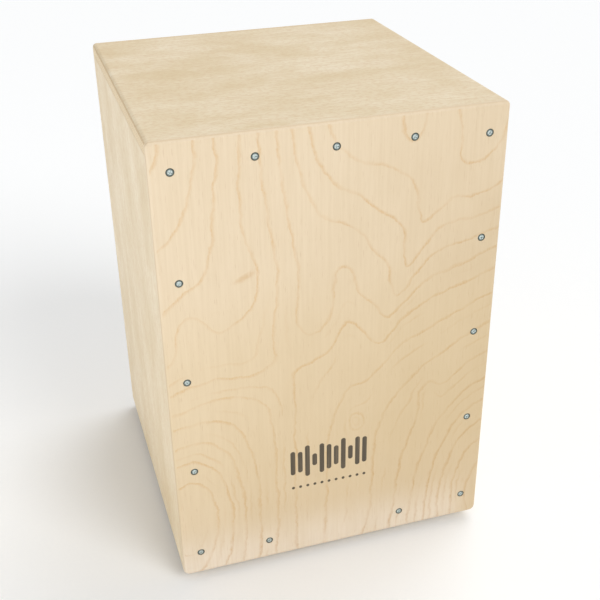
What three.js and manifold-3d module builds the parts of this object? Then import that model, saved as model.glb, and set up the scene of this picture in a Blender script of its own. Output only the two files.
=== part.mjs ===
// A child-size box cajon in birch plywood, in millimetres, +Z up.
// The player strikes the front plate, which faces -Y.
// The origin is on the floor, under the middle of the box.
import * as THREE from "three";
import { mergeVertices } from "three/addons/utils/BufferGeometryUtils.js";
import Module from "manifold-3d";

const wasm = await Module();
wasm.setup();

// ---------------------------------------------------------------- driving dimensions

const WIDTH = 300; // outside, across the front plate
const DEPTH = 309; // outside, front plate and back panel included
const BOX_HEIGHT = 428; // the wooden box without its feet
const FOOT_HEIGHT = 8;

const FRONT_PLATE = 4;
const BACK_PANEL = 5;
const SIDE_PANEL = 9;
const TOP_PANEL = 12;
const BOTTOM_PANEL = 12;
const GLUE = 0.2; // glue line between two pieces of wood
const CLEARANCE = 0.3; // round a piece that sits in a hole

const TOP_CORNER_R = 4; // the box's long edges along Y
const BOTTOM_CORNER_R = 6;
const FACE_EDGE_R = 3; // round-over of the front plate and the back panel
const CORNER_STEPS = 4;

const POST = { width: 18, depth: 18 }; // upright battens
const RAIL = { height: 18, depth: 18 }; // level battens between the posts

const SOUND_HOLE = { r: 57.5, rise: 236, sides: 64 };

// A wood screw is given by its head, its shank, its whole length and the length of its point.
const PLATE_SCREW = { headR: 3.3, headDepth: 2.2, shankR: 1.6, length: 16, point: 3.5 };
const PLATE_SCREW_SUNK = 0.15; // its head below the front plate's face
const SIDE_SCREW_INSET = 17.3; // from the box's sides to the two upright rows of screws
const CORNER_SCREW_INSET = 25; // from the box's top or bottom to the end screws of those rows
const SIDE_ROW_SCREWS = 5;
const RAIL_SCREW_INSET = 20.6; // from the box's top or bottom to the screws in the rails
const SCREW_SIDES = 12;

const FOOT = { topR: 13, bottomR: 11, inset: 31, wellR: 6.4, wellDepth: 4.6, boreR: 2.4, sides: 24 };
const FOOT_WASHER = { outerR: 5.8, innerR: 2.2, thickness: 1 };
const FOOT_SCREW = { headR: 4, headDepth: 2, shankR: 1.75, length: 12.4, point: 3 };

// The snare: a bar that turns on two dowels and carries two fans of strands, which lean on the front plate.
const SNARE_AXIS = { behindPlate: 38, rise: 238 };
const BAR = { size: 20, endGap: 3.6, chamfer: 1.5 };
const CHEEK = { depth: 38, height: 52, chamfer: 7 };
const DOWEL = { r: 4, inBar: 20, inCheek: 15, runningGap: 0.1, sides: 28 };
const FELT = { outerR: 11, thickness: 3 };
const FAN = { centre: 58, strands: 12, pitch: 6.4, strandR: 0.7, rootZ: 3, topZ: 160 };
const END_PLATE = { width: 80, low: -8, high: 8.6, thickness: 1 };
const CLAMP = { width: 82, low: -8.6, high: 2, thickness: 1.6, screwX: 33, screwZ: -3.4 };
const CLAMP_SCREW = { headR: 3, headDepth: 1.8, shankR: 1.4, length: 13, point: 2.5 };

// ---------------------------------------------------------------- places worked out from them

const FLOOR_Z = FOOT_HEIGHT; // underside of the wooden box
const TOP_Z = FOOT_HEIGHT + BOX_HEIGHT;
const FRONT_Y = -DEPTH / 2;
const BACK_Y = DEPTH / 2;

// The hollow of the box.
const PLATE_BACK_Y = FRONT_Y + FRONT_PLATE;
const BACK_PANEL_FRONT_Y = BACK_Y - BACK_PANEL;
const SIDE_INNER_X = WIDTH / 2 - SIDE_PANEL;
const POST_INNER_X = SIDE_INNER_X - POST.width;
const INNER_LOW_Z = FLOOR_Z + BOTTOM_PANEL;
const INNER_HIGH_Z = TOP_Z - TOP_PANEL;

const BAR_END_X = POST_INNER_X - BAR.endGap;
const SNARE_Y = PLATE_BACK_Y + SNARE_AXIS.behindPlate;
const SCREW_HEAD_Y = FRONT_Y + PLATE_SCREW_SUNK;

// ---------------------------------------------------------------- materials

const finish = (color, roughness, metalness = 0) =>
  new THREE.MeshStandardMaterial({ color, roughness, metalness });

const birchFace = finish(0xedd9b4, 0.42);
const birchPly = finish(0xe8d6b4, 0.55);
const pine = finish(0xe6c592, 0.7);
const beech = finish(0xcf9f6e, 0.6);
const zinc = finish(0xb9c1c4, 0.32, 1);
const steel = finish(0xc6c6c4, 0.25, 1);
const rubber = finish(0x1c1c1d, 0.85);
const greyFelt = finish(0x4a4d52, 1);

// ---------------------------------------------------------------- solids

/** A closed geometry as a manifold solid. */
function solidOf(geometry) {
  const bare = geometry.index ? geometry.toNonIndexed() : geometry.clone();
  bare.deleteAttribute("normal");
  bare.deleteAttribute("uv");
  const merged = mergeVertices(bare, 1e-4);
  return new wasm.Manifold(
    new wasm.Mesh({
      numProp: 3,
      vertProperties: new Float32Array(merged.attributes.position.array),
      triVerts: new Uint32Array(merged.index.array),
    }),
  );
}

/** A manifold solid as a flat-shaded geometry. */
function geometryOf(solid) {
  const { vertProperties, numProp, triVerts } = solid.getMesh();
  const indexed = new THREE.BufferGeometry();
  indexed.setAttribute("position", new THREE.BufferAttribute(vertProperties, numProp));
  indexed.setIndex(new THREE.BufferAttribute(triVerts, 1));
  const flat = indexed.toNonIndexed();
  flat.computeVertexNormals();
  return flat;
}

/** The geometry with every cutter taken out of it. */
function cut(geometry, cutters) {
  return geometryOf(cutters.reduce((rest, cutter) => rest.subtract(solidOf(cutter)), solidOf(geometry)));
}

/** All the geometries as one solid. */
function joined(geometries) {
  return geometryOf(geometries.map(solidOf).reduce((sum, solid) => sum.add(solid)));
}

/** A block between its lowest and its highest corner. */
function block([x0, y0, z0], [x1, y1, z1]) {
  const geometry = new THREE.BoxGeometry(x1 - x0, y1 - y0, z1 - z0);
  return geometry.translate((x0 + x1) / 2, (y0 + y1) / 2, (z0 + z1) / 2);
}

/** A rectangle with a radius for each corner: low left, low right, high right, high left. */
function roundedOutline([x0, z0], [x1, z1], [lowLeft, lowRight, highRight, highLeft]) {
  const quarter = Math.PI / 2;
  const outline = new THREE.Shape();
  outline.moveTo(x0 + lowLeft, z0);
  outline.lineTo(x1 - lowRight, z0);
  if (lowRight) outline.absarc(x1 - lowRight, z0 + lowRight, lowRight, -quarter, 0);
  outline.lineTo(x1, z1 - highRight);
  if (highRight) outline.absarc(x1 - highRight, z1 - highRight, highRight, 0, quarter);
  outline.lineTo(x0 + highLeft, z1);
  if (highLeft) outline.absarc(x0 + highLeft, z1 - highLeft, highLeft, quarter, 2 * quarter);
  outline.lineTo(x0, z0 + lowLeft);
  if (lowLeft) outline.absarc(x0 + lowLeft, z0 + lowLeft, lowLeft, 2 * quarter, 3 * quarter);
  return outline;
}

/** An outline drawn in X and Z, made solid from y0 to y1. */
function alongY(outline, y0, y1) {
  const settings = { depth: y1 - y0, bevelEnabled: false, curveSegments: CORNER_STEPS };
  return new THREE.ExtrudeGeometry(outline, settings).rotateX(Math.PI / 2).translate(0, y1, 0);
}

/** An outline drawn in Y and Z, made solid from x0 to x1. */
function alongX(outline, x0, x1) {
  const geometry = new THREE.ExtrudeGeometry(outline, { depth: x1 - x0, bevelEnabled: false });
  return geometry.applyMatrix4(new THREE.Matrix4().set(0, 0, 1, x0, 1, 0, 0, 0, 0, 1, 0, 0, 0, 0, 0, 1));
}

/** A profile of [radius, height] points turned about Z. */
function turned(profile, sides) {
  const points = profile.map(([radius, height]) => new THREE.Vector2(radius, height));
  return new THREE.LatheGeometry(points, sides).rotateX(Math.PI / 2);
}

function rod(r, z0, z1, sides) {
  return turned([[0, z0], [r, z0], [r, z1], [0, z1]], sides);
}

function ring(innerR, outerR, z0, z1, sides) {
  return turned([[innerR, z0], [outerR, z0], [outerR, z1], [innerR, z1], [innerR, z0]], sides);
}

/** Turns a piece made along +Z so that it points along +Y, and moves it. */
function pointedBack(geometry, x, y, z) {
  return geometry.rotateX(-Math.PI / 2).translate(x, y, z);
}

/** A named mesh of one sub-part. */
function part(name, geometry, material) {
  const mesh = new THREE.Mesh(geometry, material);
  mesh.name = name;
  return mesh;
}

// ---------------------------------------------------------------- screws

/** Cutters for the cross recess of a head whose flat top is at height top and faces down. */
function crossRecess(headR, top) {
  const [reach, half, depth] = [headR * 0.58, headR * 0.14, headR * 0.42];
  const slot = (x, y) => block([-x, -y, top - 1], [x, y, top + depth]);
  return [slot(reach, half), slot(half, reach)];
}

/** A countersunk wood screw with its flat head at z = 0 and its point up. */
function countersunkScrew({ headR, headDepth, shankR, length, point }) {
  const rim = headR * 0.08;
  const profile = [
    [0, 0],
    [headR, 0],
    [headR, rim],
    [shankR, headDepth],
    [shankR, length - point],
    [0, length],
  ];
  return cut(turned(profile, SCREW_SIDES), crossRecess(headR, 0));
}

/** A round-headed wood screw with the underside of its head at z = 0 and its point up. */
function roundHeadScrew({ headR, headDepth, shankR, length, point }) {
  const profile = [
    [0, -headDepth],
    [headR * 0.66, -headDepth],
    [headR * 0.95, -headDepth * 0.55],
    [headR, 0],
    [shankR, 0],
    [shankR, length - point],
    [0, length],
  ];
  return cut(turned(profile, SCREW_SIDES), crossRecess(headR, -headDepth));
}

/** The hole that a countersunk screw sits in, with its mouth at z = 0. */
function countersink({ headR, headDepth, shankR, length }) {
  const [mouth, neck] = [headR + CLEARANCE, shankR + CLEARANCE];
  const throat = headDepth + CLEARANCE / 2;
  const profile = [
    [0, -1],
    [mouth, -1],
    [mouth, CLEARANCE],
    [neck, throat],
    [neck, length],
    [0, length],
  ];
  return turned(profile, SCREW_SIDES);
}

/** The front plate's screws as [x, z]: a row up each side, three in the top rail, two in the bottom one. */
function plateScrewPlaces() {
  const rowX = WIDTH / 2 - SIDE_SCREW_INSET;
  const [lowZ, highZ] = [FLOOR_Z + CORNER_SCREW_INSET, TOP_Z - CORNER_SCREW_INSET];
  const places = [];
  for (const side of [-1, 1]) {
    for (let step = 0; step < SIDE_ROW_SCREWS; step++) {
      places.push([side * rowX, THREE.MathUtils.lerp(highZ, lowZ, step / (SIDE_ROW_SCREWS - 1))]);
    }
  }
  for (const share of [-0.5, 0, 0.5]) places.push([share * rowX, TOP_Z - RAIL_SCREW_INSET]);
  for (const share of [-0.5, 0.5]) places.push([share * rowX, FLOOR_Z + RAIL_SCREW_INSET]);
  return places;
}

const SCREW_PLACES = plateScrewPlaces();

function plateScrews() {
  return SCREW_PLACES.map(([x, z], index) => {
    const name = `front_plate_screw_${String(index + 1).padStart(2, "0")}`;
    return part(name, pointedBack(countersunkScrew(PLATE_SCREW), x, SCREW_HEAD_Y, z), zinc);
  });
}

// ---------------------------------------------------------------- panels

/** A plate over the whole front (facing -1) or back (facing 1), rounded over on its outer side. */
function facePlate(thickness, facing) {
  const corners = [BOTTOM_CORNER_R, BOTTOM_CORNER_R, TOP_CORNER_R, TOP_CORNER_R];
  const halfWidth = WIDTH / 2 - FACE_EDGE_R;
  const outline = roundedOutline(
    [-halfWidth, FLOOR_Z + FACE_EDGE_R],
    [halfWidth, TOP_Z - FACE_EDGE_R],
    corners.map((r) => r - FACE_EDGE_R),
  );
  // A blank of twice the thickness, rounded over on both sides, is cut through its middle plane.
  const blank = new THREE.ExtrudeGeometry(outline, {
    depth: 2 * (thickness - FACE_EDGE_R),
    bevelThickness: FACE_EDGE_R,
    bevelSize: FACE_EDGE_R,
    bevelSegments: CORNER_STEPS,
    curveSegments: CORNER_STEPS,
  });
  const middleY = facing * (DEPTH / 2 - thickness);
  blank.rotateX(Math.PI / 2).translate(0, middleY + thickness - FACE_EDGE_R, 0);
  const farY = middleY - facing * DEPTH;
  const waste = block(
    [-WIDTH, Math.min(middleY, farY), FLOOR_Z - 1],
    [WIDTH, Math.max(middleY, farY), TOP_Z + 1],
  );
  return cut(blank, [waste]);
}

function frontPlate() {
  const holes = SCREW_PLACES.map(([x, z]) => pointedBack(countersink(PLATE_SCREW), x, SCREW_HEAD_Y, z));
  return part("front_plate", cut(facePlate(FRONT_PLATE, -1), holes), birchFace);
}

function backPanel() {
  const hole = pointedBack(rod(SOUND_HOLE.r, 0, DEPTH, SOUND_HOLE.sides), 0, 0, SOUND_HOLE.rise);
  return part("back_panel", cut(facePlate(BACK_PANEL, 1), [hole]), birchPly);
}

/** Makes a panel whose grain of plies is seen at its front and back ends. */
function runThroughPanel(name, low, high, corners) {
  const outline = roundedOutline(low, high, corners);
  return part(name, alongY(outline, PLATE_BACK_Y + GLUE, BACK_PANEL_FRONT_Y - GLUE), birchPly);
}

/** The top panel lies on the side panels; the bottom panel is let in between them. */
function topAndSidePanels() {
  const sideTop = INNER_HIGH_Z - GLUE;
  const [outerX, innerX] = [WIDTH / 2, SIDE_INNER_X];
  const [topCorners, leftCorners, rightCorners] = [
    [0, 0, TOP_CORNER_R, TOP_CORNER_R],
    [BOTTOM_CORNER_R, 0, 0, 0],
    [0, BOTTOM_CORNER_R, 0, 0],
  ];
  return [
    runThroughPanel("top_panel", [-outerX, INNER_HIGH_Z], [outerX, TOP_Z], topCorners),
    runThroughPanel("left_side_panel", [-outerX, FLOOR_Z], [-innerX, sideTop], leftCorners),
    runThroughPanel("right_side_panel", [innerX, FLOOR_Z], [outerX, sideTop], rightCorners),
  ];
}

function bottomPanel() {
  const [reachX, screwTop] = [SIDE_INNER_X - GLUE, FOOT_SCREW_SEAT_Z + FOOT_SCREW.length + CLEARANCE];
  const panel = block(
    [-reachX, PLATE_BACK_Y + GLUE, FLOOR_Z],
    [reachX, BACK_PANEL_FRONT_Y - GLUE, INNER_LOW_Z],
  );
  const pilots = footPlaces().map(([, x, y]) =>
    rod(FOOT_SCREW.shankR + CLEARANCE, FLOOR_Z - 1, screwTop, SCREW_SIDES).translate(x, y, 0),
  );
  return part("bottom_panel", cut(panel, pilots), birchPly);
}

// ---------------------------------------------------------------- battens

/** The batten with pilot holes for the front plate's screws that meet it. */
function drilled(batten, [x0, z0], [x1, z1]) {
  const meets = ([x, z]) => x > x0 && x < x1 && z > z0 && z < z1;
  const pilot = ([x, z]) => {
    const bit = rod(PLATE_SCREW.shankR + CLEARANCE, 0, PLATE_SCREW.length + 1, SCREW_SIDES);
    return pointedBack(bit, x, SCREW_HEAD_Y, z);
  };
  return cut(batten, SCREW_PLACES.filter(meets).map(pilot));
}

/** Four battens glued in behind one face: the posts run full height, the rails fit between them. */
function battenFrame(where, y0, y1) {
  const [low, high] = [INNER_LOW_Z + GLUE, INNER_HIGH_Z - GLUE];
  const [postOuter, railEnd] = [SIDE_INNER_X - GLUE, POST_INNER_X - GLUE];
  const places = [
    ["left", [-postOuter, low], [-POST_INNER_X, high]],
    ["right", [POST_INNER_X, low], [postOuter, high]],
    ["top", [-railEnd, high - RAIL.height], [railEnd, high]],
    ["bottom", [-railEnd, low], [railEnd, low + RAIL.height]],
  ];
  return places.map(([side, from, to]) => {
    const batten = block([from[0], y0, from[1]], [to[0], y1, to[1]]);
    const made = where === "front" ? drilled(batten, from, to) : batten;
    return part(`${where}_${side}_batten`, made, pine);
  });
}

function battens() {
  const frontY = PLATE_BACK_Y + GLUE;
  const rearY = BACK_PANEL_FRONT_Y - GLUE;
  return [
    ...battenFrame("front", frontY, frontY + POST.depth),
    ...battenFrame("rear", rearY - RAIL.depth, rearY),
  ];
}

// ---------------------------------------------------------------- feet

const FOOT_WASHER_Z = FOOT.wellDepth - CLEARANCE - FOOT_WASHER.thickness;
const FOOT_SCREW_SEAT_Z = FOOT_WASHER_Z - CLEARANCE;

/** The feet as [name, x, y]. */
function footPlaces() {
  const [x, y] = [WIDTH / 2 - FOOT.inset, DEPTH / 2 - FOOT.inset];
  return [
    ["front_left", -x, -y],
    ["front_right", x, -y],
    ["rear_left", -x, y],
    ["rear_right", x, y],
  ];
}

/** A tapered foot with a well for its washer and screw. */
function rubberFoot() {
  const topZ = FOOT_HEIGHT - GLUE;
  return turned(
    [
      [FOOT.boreR, FOOT.wellDepth],
      [FOOT.wellR, FOOT.wellDepth],
      [FOOT.wellR, 0],
      [FOOT.bottomR - 1, 0],
      [FOOT.bottomR, 1],
      [FOOT.topR, topZ],
      [FOOT.boreR, topZ],
      [FOOT.boreR, FOOT.wellDepth],
    ],
    FOOT.sides,
  );
}

function feet() {
  const washerTop = FOOT_WASHER_Z + FOOT_WASHER.thickness;
  return footPlaces().flatMap(([where, x, y]) => {
    const washer = ring(FOOT_WASHER.innerR, FOOT_WASHER.outerR, FOOT_WASHER_Z, washerTop, FOOT.sides);
    return [
      part(`rubber_foot_${where}`, rubberFoot().translate(x, y, 0), rubber),
      part(`foot_washer_${where}`, washer.translate(x, y, 0), zinc),
      part(`foot_screw_${where}`, roundHeadScrew(FOOT_SCREW).translate(x, y, FOOT_SCREW_SEAT_Z), zinc),
    ];
  });
}

// ---------------------------------------------------------------- snare bearings

/** A block glued to a side panel behind the front post and bored for the bar's dowel. */
function cheek(name, side) {
  const y0 = PLATE_BACK_Y + POST.depth + 2 * GLUE;
  const y1 = y0 + CHEEK.depth;
  const [low, high] = [SNARE_AXIS.rise - CHEEK.height / 2, SNARE_AXIS.rise + CHEEK.height / 2];
  const outline = new THREE.Shape();
  outline.moveTo(y0, low);
  outline.lineTo(y1 - CHEEK.chamfer, low);
  outline.lineTo(y1, low + CHEEK.chamfer);
  outline.lineTo(y1, high - CHEEK.chamfer);
  outline.lineTo(y1 - CHEEK.chamfer, high);
  outline.lineTo(y0, high);
  outline.closePath();
  const innerFace = side * POST_INNER_X;
  const outerFace = side * (SIDE_INNER_X - GLUE);
  const blank = alongX(outline, Math.min(innerFace, outerFace), Math.max(innerFace, outerFace));
  const bore = rod(DOWEL.r + DOWEL.runningGap, -WIDTH, WIDTH, DOWEL.sides).rotateY(Math.PI / 2);
  return part(name, cut(blank, [bore.translate(0, SNARE_Y, SNARE_AXIS.rise)]), birchPly);
}

/** A felt ring between a cheek and the end of the bar, which keeps the bar where it is put. */
function feltWasher(name, side) {
  const near = BAR_END_X + (BAR.endGap - FELT.thickness) / 2;
  const washer = ring(DOWEL.r + CLEARANCE, FELT.outerR, near, near + FELT.thickness, DOWEL.sides);
  return part(name, washer.rotateY((side * Math.PI) / 2).translate(0, SNARE_Y, SNARE_AXIS.rise), greyFelt);
}

// ---------------------------------------------------------------- snare bar

// The turning pieces are drawn about the bar's own axis: X along the bar and Z along the strands.
const END_PLATE_BACK = -BAR.size / 2 - CLEARANCE;
const END_PLATE_FACE = END_PLATE_BACK - END_PLATE.thickness;
const CLAMP_BACK = END_PLATE_FACE - CLEARANCE;
const CLAMP_FACE = CLAMP_BACK - CLAMP.thickness;
const STRAND_Y = END_PLATE_FACE - FAN.strandR / 2; // a strand is let into its end plate by half its radius
const FANS = [["left", -1], ["right", 1]]; // each side's name, and its sign along X

/** How far the bar is turned forward for the strands' ends to come to the front plate. */
function snareLean() {
  const tipAhead = FAN.strandR - STRAND_Y;
  const reach = Math.hypot(tipAhead, FAN.topZ);
  return Math.asin((SNARE_AXIS.behindPlate - CLEARANCE) / reach) - Math.atan2(tipAhead, FAN.topZ);
}

/** Where the screws of both clamps go along the bar. */
function clampScrewPlaces(side) {
  return [-1, 1].map((end) => side * FAN.centre + end * CLAMP.screwX);
}

/** A hole for a clamp screw, through everything in front of the bar and into it. */
function clampScrewHole(x) {
  const depth = CLAMP_SCREW.length + CLEARANCE + 0.2;
  const bit = rod(CLAMP_SCREW.shankR + CLEARANCE, -1, depth, SCREW_SIDES);
  return pointedBack(bit, x, CLAMP_FACE, CLAMP.screwZ);
}

/** The bar's square section with its four edges taken off. */
function barSection() {
  const half = BAR.size / 2;
  const flat = half - BAR.chamfer;
  const middle = new THREE.Vector2();
  const side = [new THREE.Vector2(half, -flat), new THREE.Vector2(half, flat)];
  const points = [0, 1, 2, 3].flatMap((turn) =>
    side.map((corner) => corner.clone().rotateAround(middle, (turn * Math.PI) / 2)),
  );
  return new THREE.Shape(points);
}

function snareBar() {
  const socketFloor = BAR_END_X - DOWEL.inBar - CLEARANCE;
  const sockets = [-1, 1].map((side) =>
    rod(DOWEL.r + CLEARANCE, socketFloor, WIDTH, DOWEL.sides).rotateY((side * Math.PI) / 2),
  );
  const screwHoles = FANS.flatMap(([, side]) => clampScrewPlaces(side)).map(clampScrewHole);
  return cut(alongX(barSection(), -BAR_END_X, BAR_END_X), [...sockets, ...screwHoles]);
}

function pivotDowel(side) {
  const [from, to] = [BAR_END_X - DOWEL.inBar, POST_INNER_X + DOWEL.inCheek];
  return rod(DOWEL.r, from, to, DOWEL.sides).rotateY((side * Math.PI) / 2);
}

/** The strands of one fan, soldered to their end plate. */
function snareFan(side) {
  const left = side * FAN.centre - END_PLATE.width / 2;
  const plate = cut(
    block([left, END_PLATE_FACE, END_PLATE.low], [left + END_PLATE.width, END_PLATE_BACK, END_PLATE.high]),
    clampScrewPlaces(side).map(clampScrewHole),
  );
  const strands = [];
  for (let index = 0; index < FAN.strands; index++) {
    const x = side * FAN.centre + (index - (FAN.strands - 1) / 2) * FAN.pitch;
    const strand = rod(FAN.strandR, FAN.rootZ, FAN.topZ, 6);
    strands.push(strand.translate(x, STRAND_Y, 0));
  }
  return joined([plate, ...strands]);
}

function clampPlate(side) {
  const left = side * FAN.centre - CLAMP.width / 2;
  return cut(
    block([left, CLAMP_FACE, CLAMP.low], [left + CLAMP.width, CLAMP_BACK, CLAMP.high]),
    clampScrewPlaces(side).map(clampScrewHole),
  );
}

function clampScrews(where, side) {
  return clampScrewPlaces(side).map((x, index) => {
    const screw = pointedBack(roundHeadScrew(CLAMP_SCREW), x, CLAMP_FACE - CLEARANCE / 2, CLAMP.screwZ);
    return part(`clamp_screw_${where}_${index + 1}`, screw, zinc);
  });
}

/** Everything that turns with the bar, leaning forward so that the strands' ends meet the front plate. */
function turningSnare() {
  const snare = new THREE.Group();
  snare.position.set(0, SNARE_Y, SNARE_AXIS.rise);
  snare.rotation.x = snareLean();
  snare.add(part("snare_bar", snareBar(), beech));
  for (const [where, side] of FANS) {
    snare.add(
      part(`${where}_pivot_dowel`, pivotDowel(side), beech),
      part(`${where}_snare_wires`, snareFan(side), steel),
      part(`${where}_snare_clamp`, clampPlate(side), zinc),
      ...clampScrews(where, side),
    );
  }
  return snare;
}

// ---------------------------------------------------------------- the whole cajon

const cajon = new THREE.Group();
cajon.add(frontPlate(), backPanel(), ...topAndSidePanels(), bottomPanel());
cajon.add(...battens(), ...plateScrews(), ...feet());
for (const [where, side] of FANS) {
  cajon.add(cheek(`${where}_snare_cheek`, side), feltWasher(`${where}_felt_washer`, side));
}
cajon.add(turningSnare());

export default cajon;
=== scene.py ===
"""A child-size box cajon: its looks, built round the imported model.

The box is birch plywood: a thin striking plate with a rotary-cut figure is screwed on in front, and a round
sound hole is behind. Inside, a swivelling bar leans two fans of coiled snare wires on the plate. Lengths are
in metres.
"""

import logging
import math
import random
from dataclasses import dataclass, field, replace
from enum import Enum
from typing import Any, Callable, Iterable, Mapping, Optional, Sequence, Union

import bmesh
import bpy
from mathutils import Matrix, Vector


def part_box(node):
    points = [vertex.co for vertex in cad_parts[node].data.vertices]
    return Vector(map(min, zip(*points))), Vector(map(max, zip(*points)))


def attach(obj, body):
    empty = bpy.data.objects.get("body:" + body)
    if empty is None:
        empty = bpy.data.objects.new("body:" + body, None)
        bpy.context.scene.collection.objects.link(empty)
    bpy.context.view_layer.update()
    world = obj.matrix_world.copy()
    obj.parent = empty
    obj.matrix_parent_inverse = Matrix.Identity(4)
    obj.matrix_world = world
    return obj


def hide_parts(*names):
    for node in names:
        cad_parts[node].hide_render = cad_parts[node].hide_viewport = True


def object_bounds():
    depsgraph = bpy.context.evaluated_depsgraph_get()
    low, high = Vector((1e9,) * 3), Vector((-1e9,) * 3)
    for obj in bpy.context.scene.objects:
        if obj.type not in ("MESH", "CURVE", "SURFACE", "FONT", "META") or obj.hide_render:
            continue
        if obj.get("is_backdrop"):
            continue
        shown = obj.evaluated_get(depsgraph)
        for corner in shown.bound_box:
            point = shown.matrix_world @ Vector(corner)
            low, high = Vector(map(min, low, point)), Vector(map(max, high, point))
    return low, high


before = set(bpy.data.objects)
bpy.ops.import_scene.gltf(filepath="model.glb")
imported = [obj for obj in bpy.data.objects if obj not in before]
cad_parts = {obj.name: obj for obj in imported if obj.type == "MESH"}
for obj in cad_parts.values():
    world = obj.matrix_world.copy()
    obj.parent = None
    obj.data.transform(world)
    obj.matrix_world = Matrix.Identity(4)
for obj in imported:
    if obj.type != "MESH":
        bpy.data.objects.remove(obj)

CAD_BOX = [list(corner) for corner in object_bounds()]
HALF_WIDTH = CAD_BOX[1][0]
MM = 0.001
NEAR = MM / 100
LOG = logging.getLogger("cajon")

Colour = tuple[float, float, float, float]
Point = tuple[float, float, float]


def paint(red: int, green: int, blue: int) -> Colour:
    """Gives a display colour, in steps of 0 to 255, as the linear colour that a shader takes.

    Args:
        red: The red channel.
        green: The green channel.
        blue: The blue channel.

    Returns:
        The linear colour, opaque.
    """

    def linear(step: int) -> float:
        """Undoes the display curve of one channel."""
        share = step / 255
        return share / 12.92 if share <= 0.04045 else ((share + 0.055) / 1.055) ** 2.4

    return (linear(red), linear(green), linear(blue), 1.0)


class Axis(Enum):
    """One of the model's three directions."""

    X = 0
    Y = 1
    Z = 2

    @property
    def unit(self) -> Vector:
        """The direction as a vector one metre long."""
        return Vector([1.0 if index == self.value else 0.0 for index in range(3)])


@dataclass(frozen=True)
class Box:
    """The space between a lowest and a highest corner."""

    low: Vector
    high: Vector

    @classmethod
    def of_node(cls, node: str, placement: Optional[Matrix] = None) -> "Box":
        """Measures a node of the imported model.

        Args:
            node: The node's name.
            placement: Where the node's own axes stand, if they are turned.

        Returns:
            Its box, along the model's axes or along its own.
        """
        if placement is None:
            return cls(*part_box(node))
        inverse = placement.inverted()
        points = [inverse @ vertex.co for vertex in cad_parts[node].data.vertices]
        low = Vector([min(point[index] for point in points) for index in range(3)])
        high = Vector([max(point[index] for point in points) for index in range(3)])
        return cls(low, high)

    @property
    def centre(self) -> Vector:
        """The middle of the box."""
        return (self.low + self.high) / 2

    @property
    def size(self) -> Vector:
        """The box's extent along each axis."""
        return self.high - self.low


# ------------------------------------------------------------------------ shader maths


@dataclass(frozen=True)
class Signal:
    """A number that varies over a surface. Sums and products of signals add the Math nodes that they need."""

    graph: "ShaderGraph"
    socket: bpy.types.NodeSocket

    def __add__(self, other: "Number") -> "Signal":
        """Adds two values."""
        return self.graph.math("ADD", self, other)

    __radd__ = __add__

    def __sub__(self, other: "Number") -> "Signal":
        """Takes a value from this one."""
        return self.graph.math("SUBTRACT", self, other)

    def __rsub__(self, other: "Number") -> "Signal":
        """Takes this value from another."""
        return self.graph.math("SUBTRACT", other, self)

    def __mul__(self, other: "Number") -> "Signal":
        """Multiplies two values."""
        return self.graph.math("MULTIPLY", self, other)

    __rmul__ = __mul__

    def __truediv__(self, other: "Number") -> "Signal":
        """Divides this value by another."""
        return self.graph.math("DIVIDE", self, other)

    def __rtruediv__(self, other: "Number") -> "Signal":
        """Divides another value by this one."""
        return self.graph.math("DIVIDE", other, self)

    def __pow__(self, other: "Number") -> "Signal":
        """Raises this value to a power."""
        return self.graph.math("POWER", self, other)

    def __rpow__(self, other: "Number") -> "Signal":
        """Raises another value to the power of this one."""
        return self.graph.math("POWER", other, self)

    def __mod__(self, other: "Number") -> "Signal":
        """The rest of a division, never negative."""
        return self.graph.math("FLOORED_MODULO", self, other)

    def __abs__(self) -> "Signal":
        """The value without its sign."""
        return self.graph.math("ABSOLUTE", self)

    def sign(self) -> "Signal":
        """Minus one, nought or one."""
        return self.graph.math("SIGN", self)

    def rounded(self) -> "Signal":
        """The nearest whole number."""
        return self.graph.math("ROUND", self)

    def floored(self) -> "Signal":
        """The whole number below."""
        return self.graph.math("FLOOR", self)

    def at_least(self, other: "Number") -> "Signal":
        """The larger of two values."""
        return self.graph.math("MAXIMUM", self, other)

    def at_most(self, other: "Number") -> "Signal":
        """The smaller of two values."""
        return self.graph.math("MINIMUM", self, other)

    def step(self, start: float, end: float) -> "Signal":
        """Rises smoothly from 0 to 1 as this value goes from start to end.

        Args:
            start: Where the rise begins.
            end: Where it is complete, below start for a fall.

        Returns:
            The share between 0 and 1.
        """
        settings = {"interpolation_type": "SMOOTHSTEP"}
        values = {"Value": self, "From Min": start, "From Max": end}
        return Signal(self.graph, self.graph.node("ShaderNodeMapRange", settings, values).outputs["Result"])


Number = Union[Signal, float, int]
Input = Union[Signal, bpy.types.NodeSocket, float, int, Sequence[float]]


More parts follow.
